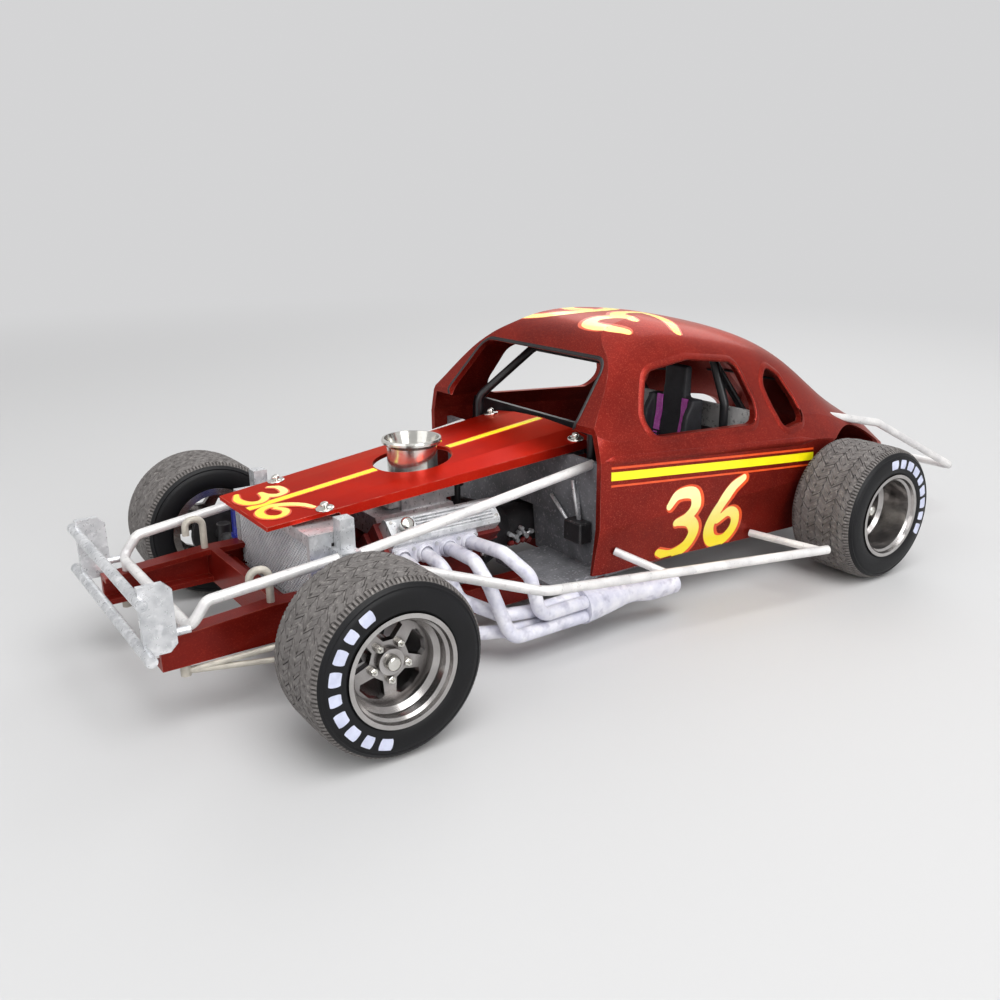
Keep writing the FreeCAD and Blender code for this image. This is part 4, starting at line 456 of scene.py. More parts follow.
for finish, nodes in nodesByFinish.items():
    for node in nodes.split():
        cadNodes[node].data.materials.clear()
        cadNodes[node].data.materials.append(finishes[finish])


# shared making of pieces
def meshFrom(bm, name):
    mesh = bpy.data.meshes.new(name)
    bm.to_mesh(mesh)
    bm.free()
    return mesh


def dress(piece, finish, body, smooth):
    if finish:
        piece.data.materials.clear()
        piece.data.materials.append(finishes[finish])
    for face in piece.data.polygons:
        face.use_smooth = smooth
    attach(piece, body)
    return piece


def newPiece(name, bm, finish, body, smooth=True):
    return dress(addToScene(name, meshFrom(bm, name)), finish, body, smooth)


def settle(piece):
    # turns the live modifiers into a plain mesh
    bpy.context.view_layer.update()
    depsgraph = bpy.context.evaluated_depsgraph_get()
    shown = piece.evaluated_get(depsgraph)
    mesh = bpy.data.meshes.new_from_object(shown, preserve_all_data_layers=True, depsgraph=depsgraph)
    piece.modifiers.clear()
    piece.data = mesh


def joinRows(bm, rows, loop=False, across=False, longest=None):
    # faces between neighbouring rows of points; a missing point leaves its faces out
    for a, b in zip(rows, rows[1:] + rows[:1] if loop else rows[1:]):
        for k in range(len(a) if across else len(a) - 1):
            m = (k + 1) % len(a)
            ring = (a[k], b[k], b[m], a[m])
            if None in ring:
                continue
            if longest is None or max((p.co - q.co).length for p in ring for q in ring) < longest * mm:
                bm.faces.new(ring)


def faceAgainst(bm, way):
    # turns round the faces that look along the way
    bm.normal_update()
    bmesh.ops.reverse_faces(bm, faces=[f for f in bm.faces if f.normal.dot(way) > 0])


def spinProfile(profile, steps, closed=True):
    # profile rows are (radius, along Y); the ring turns about Y
    bm = bmesh.new()
    rings = []
    for i in range(steps):
        turn = 2 * math.pi * i / steps
        rings.append([bm.verts.new((r * mm * math.cos(turn), y * mm, r * mm * math.sin(turn)))
                      for r, y in profile])
    joinRows(bm, rings, loop=True, across=closed)
    if not closed:
        bmesh.ops.remove_doubles(bm, verts=bm.verts, dist=1e-6)
    bmesh.ops.recalc_face_normals(bm, faces=bm.faces)
    return bm


def block(sizeX, sizeY, sizeZ, chamfer=0.0):
    bm = bmesh.new()
    bmesh.ops.create_cube(bm, size=1.0)
    bmesh.ops.scale(bm, vec=(sizeX * mm, sizeY * mm, sizeZ * mm), verts=bm.verts)
    if chamfer:
        bmesh.ops.bevel(bm, geom=bm.edges[:], offset=chamfer * mm, segments=1, affect="EDGES")
    return bm


def addRod(bm, start, stop, radius, segments, endRadius=None):
    way = stop - start
    turn = Vector((0, 0, 1)).rotation_difference(way).to_matrix().to_4x4()
    bmesh.ops.create_cone(
        bm, cap_ends=True, segments=segments, radius1=radius * mm, radius2=(endRadius or radius) * mm,
        depth=way.length, matrix=Matrix.Translation((start + stop) / 2) @ turn,
    )
    return bm


def hexBolt(radius, long):
    half = Vector((0, 0, long / 2 * mm))
    return addRod(bmesh.new(), -half, half, radius, 6)


def newTree(name, inputs, output):
    # inputs are rows of a label and its kind of socket
    tree = bpy.data.node_groups.new(name, "GeometryNodeTree")
    for label, kind in inputs:
        tree.interface.new_socket(label, in_out="INPUT", socket_type="NodeSocket" + kind)
    tree.interface.new_socket(output, in_out="OUTPUT", socket_type="NodeSocketGeometry")
    return tree, addNode(tree, "NodeGroupInput").outputs


def closeTree(tree, placed, finish, beside=None):
    # plain meshes with their finish go out, with what stands beside them
    real = addNode(tree, "GeometryNodeRealizeInstances", {0: placed}).outputs[0]
    made = addNode(tree, "GeometryNodeSetMaterial", {"Geometry": real, "Material": finish}).outputs[0]
    if beside:
        both = addNode(tree, "GeometryNodeJoinGeometry", {0: made})
        made = wire(tree, both, {0: beside}).outputs[0]
    addNode(tree, "NodeGroupOutput", {0: made})
    return tree


def repeatTree():
    # puts one small piece on every point, turned as the point says
    inputs = (("Points", "Geometry"), ("Piece", "Object"), ("Piece Size", "Float"), ("Finish", "Material"))
    tree, given = newTree("repeatPiece", inputs, "Pieces")
    piece = addNode(tree, "GeometryNodeObjectInfo", {"Object": given["Piece"]}).outputs["Geometry"]
    angles = addNode(tree, "GeometryNodeInputNamedAttribute", {0: "turn"}, data_type="FLOAT_VECTOR")
    turn = addNode(tree, "FunctionNodeEulerToRotation", {0: angles.outputs["Attribute"]}).outputs[0]
    placed = addNode(tree, "GeometryNodeInstanceOnPoints", {
        "Points": given["Points"], "Instance": piece, "Rotation": turn, "Scale": given["Piece Size"],
    })
    return closeTree(tree, placed.outputs[0], given["Finish"])


def growOn(piece, tree, values):
    # runs the tree on the piece and keeps the result as its mesh
    modifier = piece.modifiers.new("grow", "NODES")
    modifier.node_group = tree
    sockets = {i.name: i.identifier for i in tree.interface.items_tree if i.in_out == "INPUT"}
    for label, value in values.items():
        modifier[sockets[label]] = value
    settle(piece)


repeatGroup = repeatTree()


def repeatPiece(name, bm, places, finish, body, smooth=False):
    # places are (point in metres, turn as three angles)
    pattern = addToScene(name + "Pattern", meshFrom(bm, name + "Pattern"))
    points = bpy.data.meshes.new(name + "Points")
    points.from_pydata([tuple(p) for p, turn in places], [], [])
    turns = points.attributes.new("turn", "FLOAT_VECTOR", "POINT")
    for i, (p, turn) in enumerate(places):
        turns.data[i].vector = turn
    holder = addToScene(name, points)
    growOn(holder, repeatGroup, {"Piece": pattern, "Piece Size": 1.0, "Finish": finishes[finish]})
    bpy.data.objects.remove(pattern)
    return dress(holder, None, body, smooth)


# laying things on the panels
surfaces = {}


def surfaceOf(node):
    if node not in surfaces:
        mesh = cadNodes[node].data
        faces = [tuple(p.vertices) for p in mesh.polygons]
        surfaces[node] = BVHTree.FromPolygons([v.co.copy() for v in mesh.vertices], faces)
    return surfaces[node]


def landOn(tree, start, way):
    # where a line meets the panel, and the way out of the panel there
    hit, out = tree.ray_cast(start, way)[:2]
    if hit is not None and out.dot(way) > 0:
        out = -out
    return hit, out


def fromSide(sign, x, z):
    return spot(x, castFrom * sign, z), Vector((0, -sign, 0))


def fromAbove(x, y):
    return spot(x, y, castFrom), Vector((0, 0, -1))


def laySkin(name, node, rows, finish, body, loop=False, longest=None):
    # rows hold (start, way, height): each point lands on the node and stands that much over it
    tree = surfaceOf(node)
    bm = bmesh.new()
    grid = []
    for row in rows:
        line = []
        for start, way, lift in row:
            hit, out = landOn(tree, start, way)
            line.append(None if hit is None else bm.verts.new(hit + out * lift * mm))
        grid.append(line)
    joinRows(bm, grid, loop=loop, longest=longest)
    faceAgainst(bm, way)
    return newPiece(name, bm, finish, body)


# tyres
wheels = [  # label, end, tail of the body's name, centre, side
    (end.title() + word, end, end + "_" + word.lower(), spot(x, y * side, wheelHigh), side)
    for end, x, y in (("front", 0.0, 35.5), ("rear", -108.0, 34.5)) for side, word in sides
]
tyreLook = {
    "radius": 13.1, "beadRadius": 7.42, "beadHalf": 6.5, "pitches": 26, "ribs": 124, "steps": 216,
    "turnEach": 0.37,
    "crown": ((0.0, 13.1), (3.6, 13.09), (4.8, 13.0), (5.86, 12.79), (6.4, 12.45), (6.79, 11.98),
              (7.02, 11.3)),
    "wall": (  # radius and half width, from the shoulder down to the rim
        (12.32, 6.5), (12.06, 6.68), (11.9, 6.78), (11.84, 6.9), (11.72, 6.93), (11.66, 6.84), (11.5, 6.9),
        (11.42, 6.97), (10.9, 7.06), (10.2, 7.13), (9.6, 7.14), (9.0, 7.09), (8.5, 6.98), (8.18, 6.8),
        (8.16, 6.5),
    ),
    # half width, share of the groove's depth
    "floor": ((0.0, 1), (2.0, 1), (3.6, 1), (4.8, 1), (5.6, 1), (6.1, 0.9)),
    # above this radius and within this half width the rubber is groove floor
    "floorFrom": 12.2, "floorHalf": 6.7,
    "grooveDeep": 0.26, "groove": 0.21, "sipe": 0.07, "cutShare": 0.8, "cuts": 4, "zig": 0.3,
    "flare": (1.06, 1.03), "root": 0.05,
    "lines": (-5.6, -3.9, -2.2, -0.5, 1.3, 3.0, 4.5, 5.6),  # where the grooves run round
    "leans": (1.5, 1.3, -1.1, 1.6, -1.3, 1.2, 0.9),
    "offsets": (0.0, 1.7, 0.5, 2.3, 1.2, 2.8, 0.4),
    "rib": ((5.62, 0.0), (5.95, 0.0), (6.3, 0.0), (6.46, 0.03), (6.54, 0.4)), "ribWide": 0.2565,
    "ribDeep": 0.46, "ribFlare": 1.1, "ribStep": 0.05,
}


def between(rows, at):
    # straight between rows of (place, value)
    return float(np.interp(at, [row[0] for row in rows], [row[1] for row in rows]))


def onCrown(along, across, sink=0.0):
    # unrolled tread to ring: along is millimetres round the tyre
    r = (between(tyreLook["crown"], abs(across)) - sink) * mm
    turn = along / tyreLook["radius"]
    return Vector((r * math.sin(turn), across * mm, r * math.cos(turn)))


def addTreadBlock(bm, corners, look):
    # corners run round the block, unrolled; sides lean out a little towards the floor of the groove
    middle = [sum(c[i] for c in corners) / len(corners) for i in (0, 1)]
    top = [bm.verts.new(onCrown(*c)) for c in corners]
    foot = []
    for corner in corners:
        wide = [m + (c - m) * flare for m, c, flare in zip(middle, corner, look["flare"])]
        foot.append(bm.verts.new(onCrown(*wide, look["grooveDeep"] + look["root"])))
    bm.faces.new(top)
    joinRows(bm, [foot, top], across=True)


def treadPitch(look):
    bm = bmesh.new()
    length = 2 * math.pi * look["radius"] / look["pitches"]
    half, cut = look["groove"] / 2, look["sipe"] * look["cutShare"]
    for column, (low, high) in enumerate(zip(look["lines"], look["lines"][1:])):
        lean, offset = look["leans"][column], look["offsets"][column]
        side, other = (half, cut) if column % 2 else (cut, half)  # every other groove is only a cut
        for k in range(look["cuts"]):
            start = offset + length * k / look["cuts"] + (look["sipe"] / 2 if k else half)
            last = k == look["cuts"] - 1
            stop = offset + length * (k + 1) / look["cuts"] - (half if last else look["sipe"] / 2)
            zigs = [look["zig"] * (n % 2) - look["zig"] / 2 for n in (k, k + 1)]
            corners = [
                (start, low + side + zigs[0]), (stop, low + side + zigs[1]),
                (stop + lean, high - other + zigs[1]), (start + lean, high - other + zigs[0]),
            ]
            addTreadBlock(bm, corners, look)
    bmesh.ops.recalc_face_normals(bm, faces=bm.faces)
    return bm


def shoulderRib(look, side):
    # one short bar that runs over the shoulder and down the top of the wall
    bm = bmesh.new()
    wide = 2 * math.pi * look["radius"] / look["ribs"] * look["ribWide"]
    low = wide * look["ribFlare"]
    rows = []
    for y, sink in look["rib"]:
        top = [bm.verts.new(onCrown(s * wide, y * side, sink)) for s in (-1, 1)]
        foot = [bm.verts.new(onCrown(s * low, (y - look["ribStep"]) * side, look["ribDeep"]))
                for s in (-1, 1)]
        rows.append((foot[0], top[0], top[1], foot[1]))
    joinRows(bm, rows)
    for end in (rows[0], rows[-1]):
        bm.faces.new(end)
    bmesh.ops.recalc_face_normals(bm, faces=bm.faces)
    return bm


def tyreTree():
    # the smooth carcass comes in; blocks and ribs are set round it
    rounds = (("Pitch", "Pitch Count"), ("Left Rib", "Rib Count"), ("Right Rib", "Rib Count"))
    inputs = [("Carcass", "Geometry")] + [(label, "Object") for label, number in rounds]
    inputs += [("Pitch Count", "Int"), ("Rib Count", "Int"), ("Tread Finish", "Material")]
    tree, given = newTree("tyreTread", inputs, "Tyre")
    join = addNode(tree, "GeometryNodeJoinGeometry")
    for label, number in rounds:
        points = addNode(tree, "GeometryNodePoints", {"Count": given[number]}).outputs[0]
        index = addNode(tree, "GeometryNodeInputIndex").outputs[0]
        angle = maths(tree, "MULTIPLY", maths(tree, "DIVIDE", index, given[number]), 2 * math.pi)
        angles = addNode(tree, "ShaderNodeCombineXYZ", {"Y": angle}).outputs[0]
        turn = addNode(tree, "FunctionNodeEulerToRotation", {0: angles}).outputs[0]
        piece = addNode(tree, "GeometryNodeObjectInfo", {"Object": given[label]}).outputs["Geometry"]
        inputs = {"Points": points, "Instance": piece, "Rotation": turn}
        wire(tree, join, {0: addNode(tree, "GeometryNodeInstanceOnPoints", inputs).outputs[0]})
    return closeTree(tree, join.outputs[0], given["Tread Finish"], given["Carcass"])


def carcassMesh(look):
    half = [(between(look["crown"], y) - look["grooveDeep"] * share, y) for y, share in look["floor"]]
    half += [*look["wall"], (look["beadRadius"], look["beadHalf"])]
    mesh = meshFrom(spinProfile(half + [(r, -y) for r, y in half[::-1] if y > 0], look["steps"]),
                    "tyreCarcass")
    for finish in ("wallRubber", "grooveRubber"):
        mesh.materials.append(finishes[finish])
    for face in mesh.polygons:
        face.use_smooth = True
        high = math.hypot(face.center.x, face.center.z)
        face.material_index = int(high > look["floorFrom"] * mm and abs(face.center.y) < look["floorHalf"] * mm)
    return mesh


def makeTyres(look):
    tree = tyreTree()
    shapes = {"Pitch": treadPitch(look), "Left Rib": shoulderRib(look, 1), "Right Rib": shoulderRib(look, -1)}
    helpers = {label: addToScene("tyreHelper", meshFrom(bm, "tyreHelper")) for label, bm in shapes.items()}
    values = {"Pitch Count": look["pitches"], "Rib Count": look["ribs"],
              "Tread Finish": finishes["treadRubber"]}
    for index, (label, end, tail, centre, side) in enumerate(wheels):
        tyre = addToScene("tyre" + label, carcassMesh(look))
        growOn(tyre, tree, {**helpers, **values})
        tyre.data.transform(Matrix.Translation(centre) @ Matrix.Rotation(index * look["turnEach"], 4, "Y"))
        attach(tyre, "road_wheel_" + tail)
        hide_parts("tyre_" + tail)
    for helper in helpers.values():
        bpy.data.objects.remove(helper)


markLook = {
    "marks": 9, "first": {"front": -71.0, "rear": 87.0}, "sweep": {"front": 16.4, "rear": 14.8}, "wide": 11.6,
    "narrow": 0.82, "inner": 9.35, "outer": 11.05, "lift": 0.03, "rows": 6, "columns": 8,
    "cornerFrom": 0.55, "cornerCut": 0.16,
}


def makeWallMarks(look):
    # plain pale blocks with softened corners, in an arc on the outer walls
    for label, end, tail, centre, side in wheels:
        bm = bmesh.new()
        for k in range(look["marks"]):
            middle = look["first"][end] + look["sweep"][end] * k
            wide = look["wide"] / 2 * (look["narrow"] if k % 3 == 1 else 1.0)
            rows = []
            for i in range(look["rows"] + 1):
                up = i / look["rows"]
                radius = look["inner"] + (look["outer"] - look["inner"]) * up
                y = (between(sorted(tyreLook["wall"]), radius) + look["lift"]) * side
                past = max(0, abs(up * 2 - 1) - look["cornerFrom"]) / (1 - look["cornerFrom"])
                line = []
                for c in range(look["columns"] + 1):
                    turn = (c / look["columns"] * 2 - 1) * wide * (1 - look["cornerCut"] * past)
                    angle = math.radians(middle + turn)
                    place = Vector((radius * math.cos(angle), y, radius * math.sin(angle)))
                    line.append(bm.verts.new(place * mm + centre))
                rows.append(line)
            joinRows(bm, rows)
        faceAgainst(bm, Vector((0, -side, 0)))
        newPiece("wallMarks" + label, bm, "markWhite", "road_wheel_" + tail)


makeTyres(tyreLook)
makeWallMarks(markLook)
print("tyres done")


# hub caps and wheel nuts
nutLook = {
    "count": 5, "circle": 2.75, "across": 0.6, "high": 0.85, "chamfer": 0.1, "stud": (0.26, 0.2, 1.7),
    "rimHalf": 7.1, "dish": {"front": 4.4, "rear": 8.4}, "hubGrow": {"front": 1.0, "rear": 2.6},
    "hubLift": 0.05,
    "hubSteps": 40, "hub": (  # radius and height
        (0.0001, 1.75), (0.75, 1.72), (1.0, 1.6), (1.08, 1.35), (1.08, 0.75), (1.3, 0.7), (1.42, 0.55),
        (1.45, 0.3), (1.72, 0.25), (1.78, 0.0), (0.0001, 0.0),
    ),
}


def nutShape(look):
    bm = hexBolt(look["across"], look["high"])
    rim = [e for e in bm.edges if abs(e.verts[0].co.z - e.verts[1].co.z) < 1e-9 and e.verts[0].co.z > 0]
    bmesh.ops.bevel(bm, geom=rim, offset=look["chamfer"] * mm, segments=1, affect="EDGES")
    radius, end, long = look["stud"]
    half = Vector((0, 0, long / 2 * mm))
    addRod(bm, -half, half, radius, 12, end)
    bm.transform(Matrix.Rotation(-math.pi / 2, 4, "X"))
    return bm


def makeNuts(look):
    for label, end, tail, centre, side in wheels:
        body = "road_wheel_" + tail
        face = look["rimHalf"] - look["dish"][end]
        flip = 0 if side > 0 else math.pi
        places = []
        for k in range(look["count"]):
            angle = math.radians(90 + (k + 0.5) * 360 / look["count"])
            across, rise = look["circle"] * math.cos(angle), look["circle"] * math.sin(angle)
            places.append((centre + Vector((across, side * (face + look["high"] / 2), rise)) * mm,
                           (flip, 0, 0)))
        profile = [(r, high * look["hubGrow"][end]) for r, high in look["hub"]]
        cap = spinProfile(profile, look["hubSteps"], closed=False)
        foot = centre + Vector((0, side * (face + look["hubLift"]) * mm, 0))
        cap.transform(Matrix.Translation(foot) @ Matrix.Rotation(flip, 4, "X"))
        newPiece("hubCap" + label, cap, "brightPlate", body)
        repeatPiece("wheelNuts" + label, nutShape(look), places, "brightPlate", body)


makeNuts(nutLook)
print("hub caps and wheel nuts done")


# painted numbers
numberStrokes = {  # brush strokes as rows of (x, y, half width)
    "3": [[(0.10, 0.82, 0.07), (0.30, 0.96, 0.10), (0.66, 0.93, 0.12), (0.74, 0.74, 0.13), (0.58, 0.58, 0.12),
           (0.34, 0.54, 0.08)],
          [(0.40, 0.54, 0.08), (0.68, 0.50, 0.12), (0.84, 0.32, 0.135), (0.72, 0.10, 0.13),
           (0.38, 0.02, 0.11),
           (0.06, 0.12, 0.07)]],
    "6": [[(0.86, 0.98, 0.07), (0.56, 0.86, 0.11), (0.30, 0.62, 0.13), (0.16, 0.32, 0.135),
           (0.30, 0.08, 0.13),
           (0.60, 0.04, 0.12), (0.80, 0.20, 0.12), (0.78, 0.40, 0.11), (0.58, 0.50, 0.10),
           (0.34, 0.40, 0.08)]],
}
digitStep = 1.06  # from one digit to the next, in digit widths
numberSpan = 2.1  # the whole number, in digit widths
numberLook = {
    "door": {
        "wide": 10.6, "high": 12.7, "lean": 0.05, "weight": 0.9, "left": -61.2, "foot": 9.5, "cell": 0.26,
        "orange": 0.42, "shift": (0.42, -0.12), "lifts": (0.02, 0.04), "axis": 2, "fade": (0.011, 0.021),
    },
    "hood": {
        "wide": 8.4, "high": 7.8, "lean": 0.04, "weight": 0.66, "left": -8.6, "foot": 3.7, "cell": 0.2,
        "orange": 0.26, "shift": (0.2, -0.06), "lifts": (0.05, 0.07), "axis": 0, "fade": (0.0675, 0.0585),
    },
    "roof": {
        "wide": 14.6, "high": 16.4, "lean": 0.03, "weight": 0.8, "left": 16.4, "foot": -76.4, "cell": 0.34,
        "orange": 0.5, "shift": (0.45, -0.12), "lifts": (0.01, 0.02), "axis": 0, "fade": (-0.006, 0.013),
    },
}


def smoothLine(points, parts=7):
    # a round line through the given points
    points = [np.array(p, float) for p in points]
    ends = [2 * points[0] - points[1]] + points + [2 * points[-1] - points[-2]]
    line = []
    for a, b, c, d in zip(ends, ends[1:], ends[2:], ends[3:]):
        for t in (k / parts for k in range(parts)):
            bend, twist = 2 * a - 5 * b + 4 * c - d, 3 * b - a - 3 * c + d
            line.append(0.5 * (2 * b + (c - a) * t + bend * t * t + twist * t ** 3))
    return line + [points[-1]]


def strokeDistance(strokes, gridX, gridY):
    # below nought inside the brush strokes
    best = np.full(gridX.shape, 1e3)
    for stroke in strokes:
        line = smoothLine(stroke)
        for a, b in zip(line, line[1:]):
            wayX, wayY = b[0] - a[0], b[1] - a[1]
            t = ((gridX - a[0]) * wayX + (gridY - a[1]) * wayY) / max(wayX ** 2 + wayY ** 2, 1e-9)
            t = np.clip(t, 0, 1)
            away = np.hypot(gridX - a[0] - wayX * t, gridY - a[1] - wayY * t)
            best = np.minimum(best, away - (a[2] + (b[2] - a[2]) * t))
    return best


def numberShape(look):
    strokes = []
    wide, high, lean, weight = (look[key] for key in ("wide", "high", "lean", "weight"))
    for k, digit in enumerate("36"):
        left = k * wide * digitStep
        for stroke in numberStrokes[digit]:
            strokes.append([(left + x * wide + lean * y * high, y * high, w * wide * weight)
                            for x, y, w in stroke])
    return strokes


def paintOn(name, node, strokes, grow, shift, cell, place, lift, finish, body):
    # fills the brush shape on a fine grid, then lays it on the panel along one direction
    points = np.array([p for stroke in strokes for p in stroke])
    reach = points[:, 2].max() + grow + cell * 2
    low, high = points[:, :2].min(0) - reach, points[:, :2].max(0) + reach
    gridX, gridY = np.meshgrid(np.arange(low[0], high[0], cell), np.arange(low[1], high[1], cell))
    value = strokeDistance(strokes, gridX, gridY) - grow
    tree = surfaceOf(node)
    bm = bmesh.new()
    known = {}

    def vertex(u, v):
        key = (round(u, 4), round(v, 4))
        if key not in known:
            hit, out = landOn(tree, *place(u + shift[0], v + shift[1]))
            known[key] = None if hit is None else bm.verts.new(hit + out * lift * mm)
        return known[key]

    for i in range(value.shape[0] - 1):
        for k in range(value.shape[1] - 1):
            square = ((i, k), (i, k + 1), (i + 1, k + 1), (i + 1, k))
            if min(value[c] for c in square) >= 0:
                continue
            ring = []
            for a, b in zip(square, square[1:] + square[:1]):
                if value[a] < 0:
                    ring.append((gridX[a], gridY[a]))
                if (value[a] < 0) != (value[b] < 0):
                    t = value[a] / (value[a] - value[b])
                    ring.append((gridX[a] + (gridX[b] - gridX[a]) * t, gridY[a] + (gridY[b] - gridY[a]) * t))
            corners = list(dict.fromkeys(vertex(u, v) for u, v in ring))
            if None not in corners and len(corners) > 2 and len(corners) >= len(ring) - 1:
                bm.faces.new(corners)
    faceAgainst(bm, place(0, 0)[1])
    newPiece(name, bm, finish, body)


def makeNumber(part, word, node, body, place):
    look = numberLook[part]
    strokes = numberShape(look)
    for layer, grow, shift, lift, finish in (
        ("Shadow", look["orange"], look["shift"], look["lifts"][0], "lineOrange"),
        ("Number", 0.0, (0, 0), look["lifts"][1], part + "NumberPaint"),
    ):
        paintOn(part + layer + word, node, strokes, grow, shift, look["cell"], place, lift, finish, body)


def makeNumbers(looks):
    for part, look in looks.items():
        name = part + "NumberPaint"
        finishes[name] = makeLetterPaint(name, look["axis"], look["fade"], letterLook)
    door, hood, roof = looks["door"], looks["hood"], looks["roof"]
    right = door["left"] - door["wide"] * numberSpan
    makeNumber("door", "Left", "coupe_body", "chassis",
               lambda u, v: fromSide(1, door["left"] - u, door["foot"] + v))
    makeNumber("door", "Right", "coupe_body", "chassis",
               lambda u, v: fromSide(-1, right + u, door["foot"] + v))
    makeNumber("hood", "", "hood_panel", "hood", lambda u, v: fromAbove(hood["foot"] - v, hood["left"] + u))
    makeNumber("roof", "", "coupe_body", "chassis",
               lambda u, v: fromAbove(roof["foot"] + v, roof["left"] - u))


# stripes
sideStripe = {
    "ends": (-49.0, -103.0), "top": (28.5, 23.5), "low": (27.0, 21.9), "lineHigh": (0.5, 0.92),
    "lineLow": (-1.1, -0.72), "steps": 110, "lift": 0.03,
}
hoodStripe = {"half": 0.8, "edge": 1.15, "lifts": (0.035, 0.02), "runs": ((3.9, -19.2), (-33.8, -54.6)),
              "steps": 40}


def stripeBand(name, node, bands, place, lift, finish, body, parts=4):
    # bands are rows of (along, low edge, high edge)
    shares = [k / parts for k in range(parts + 1)]
    rows = [[(*place(x, low + (high - low) * share), lift) for share in shares] for x, low, high in bands]
    laySkin(name, node, rows, finish, body)


def makeStripes(side, hood):
    along, top, low = (np.linspace(*side[key], side["steps"] + 1) for key in ("ends", "top", "low"))
    lines = (
        ("sideStripe", low, top, "stripeYellow", 4),
        ("sideLineHigh", top + side["lineHigh"][0], top + side["lineHigh"][1], "lineOrange", 1),
        ("sideLineLow", low + side["lineLow"][0], low + side["lineLow"][1], "lineOrange", 1),
    )
    for sign, word in sides:
        for name, under, over, finish, parts in lines:
            bands = list(zip(along, under, over))
            place = lambda x, z: fromSide(sign, x, z)
            stripeBand(name + word, "coupe_body", bands, place, side["lift"], finish, "chassis", parts)
    for k, run in enumerate(hood["runs"]):
        for name, half, lift, finish in (
            ("hoodStripe", hood["half"], hood["lifts"][0], "stripeYellow"),
            ("hoodStripeEdge", hood["edge"], hood["lifts"][1], "lineOrange"),
        ):
            bands = [(x, -half, half) for x in np.linspace(*run, hood["steps"] + 1)]
            stripeBand(name + str(k), "hood_panel", bands, fromAbove, lift, finish, "hood")


makeNumbers(numberLook)
makeStripes(sideStripe, hoodStripe)
print("numbers and stripes painted")


# hood fasteners
fastenerLook = {
    "places": ((-5.0, 9.7), (-5.0, -9.7), (-52.5, 13.3), (-52.5, -13.3)), "lift": 0.01, "steps": 28,
    "profile": (  # radius and height of the screw's head and its washer
        (0.0001, 1.15), (0.3, 1.12), (0.55, 1.0), (0.7, 0.78), (0.72, 0.6), (0.6, 0.45), (0.42, 0.4),
        (0.42, 0.26), (1.2, 0.26), (1.42, 0.2), (1.5, 0.08), (1.5, 0.0), (0.0001, 0.0),
    ),
}


def makeFasteners(look):
    bm = spinProfile(look["profile"], look["steps"], closed=False)
    bm.transform(Matrix.Rotation(math.pi / 2, 4, "X"))
    places = []
    for x, y in look["places"]:
        hit, out = landOn(surfaceOf("hood_panel"), *fromAbove(x, y))
        turn = Vector((0, 0, 1)).rotation_difference(out).to_euler()
        places.append((hit + out * look["lift"] * mm, tuple(turn)))
    repeatPiece("hoodFasteners", bm, places, "brightPlate", "hood", smooth=True)


makeFasteners(fastenerLook)


# radiator core
coreLook = {
    "face": 0.2, "half": 14.3, "low": 11.5, "high": 22.5, "columns": 32, "rows": 13, "bar": 0.17,
    "deep": 0.14, "stagger": 0.02, "overlap": 1.02,
}


def makeCore(look):
    # two sets of thin leaning bars cross each other, as expanded mesh does
    stepY = 2 * look["half"] / look["columns"]
    stepZ = (look["high"] - look["low"]) / look["rows"]
    lean = math.atan2(stepY, stepZ)
    x = look["face"] + look["deep"] / 2
    bars = []
    for row in range(look["rows"]):
        for column in range(look["columns"]):
            y, z = (column + 0.5) * stepY - look["half"], look["low"] + (row + 0.5) * stepZ
            bars += [(spot(x, y, z), (lean, 0, 0)), (spot(x + look["stagger"], y, z), (-lean, 0, 0))]
    bar = block(look["deep"], look["bar"], math.hypot(stepY, stepZ) * look["overlap"])
    repeatPiece("radiatorMesh", bar, bars, "coreGrey", "chassis")


makeCore(coreLook)
print("fasteners and radiator core done")


# valve covers
coverLook = {
    "middle": (12.7, 21.3), "fins": 6, "finStart": -19.6, "finStop": -34.2, "finGap": 0.56, "finWide": 0.26,
    "finHigh": 0.42, "finRise": 0.4, "finChamfer": 0.06, "capX": -17.3, "capHigh": 2.1, "capRadius": 1.15,
    "capSteps": 30, "bolts": (-15.3, -34.8), "boltOut": 1.35, "bolt": (0.3, 0.5),
}


def makeCovers(look):
    y, z = look["middle"]
    fins, caps, bolts = [], [], []
    for side, word in sides:
        out, across = Vector((0, side, 1)).normalized() * mm, Vector((0, side, -1)).normalized() * mm
        turn = (-side * math.pi / 4, 0, 0)
        middle = (spot((look["finStart"] + look["finStop"]) / 2, side * y, z)
                  + out * look["finHigh"] * look["finRise"])
        for k in range(look["fins"]):
            fins.append((middle + across * (k - (look["fins"] - 1) / 2) * look["finGap"], turn))
        caps.append((spot(look["capX"], side * y, z), turn))
        for x in look["bolts"]:
            bolts += [(spot(x, side * y, z) + across * s * look["boltOut"], turn) for s in (-1, 1)]
    fin = block(look["finStart"] - look["finStop"], look["finWide"], look["finHigh"], look["finChamfer"])
    repeatPiece("coverFins", fin, fins, "plateSilver", "chassis")
    r, h = look["capRadius"], look["capHigh"]
    profile = [
        (0.0001, h), (r * 0.62, h), (r * 0.9, h - 0.16), (r, h - 0.45), (r, h - 0.95), (r * 0.86, h - 1.1),
        (r * 0.8, -0.1), (0.0001, -0.1),
    ]
    cap = spinProfile(profile, look["capSteps"], closed=False)
    cap.transform(Matrix.Rotation(math.pi / 2, 4, "X"))
    repeatPiece("fillerCaps", cap, caps, "brightPlate", "chassis", smooth=True)
    repeatPiece("coverBolts", hexBolt(*look["bolt"]), bolts, "brightPlate", "chassis")


makeCovers(coverLook)
print("valve covers done")


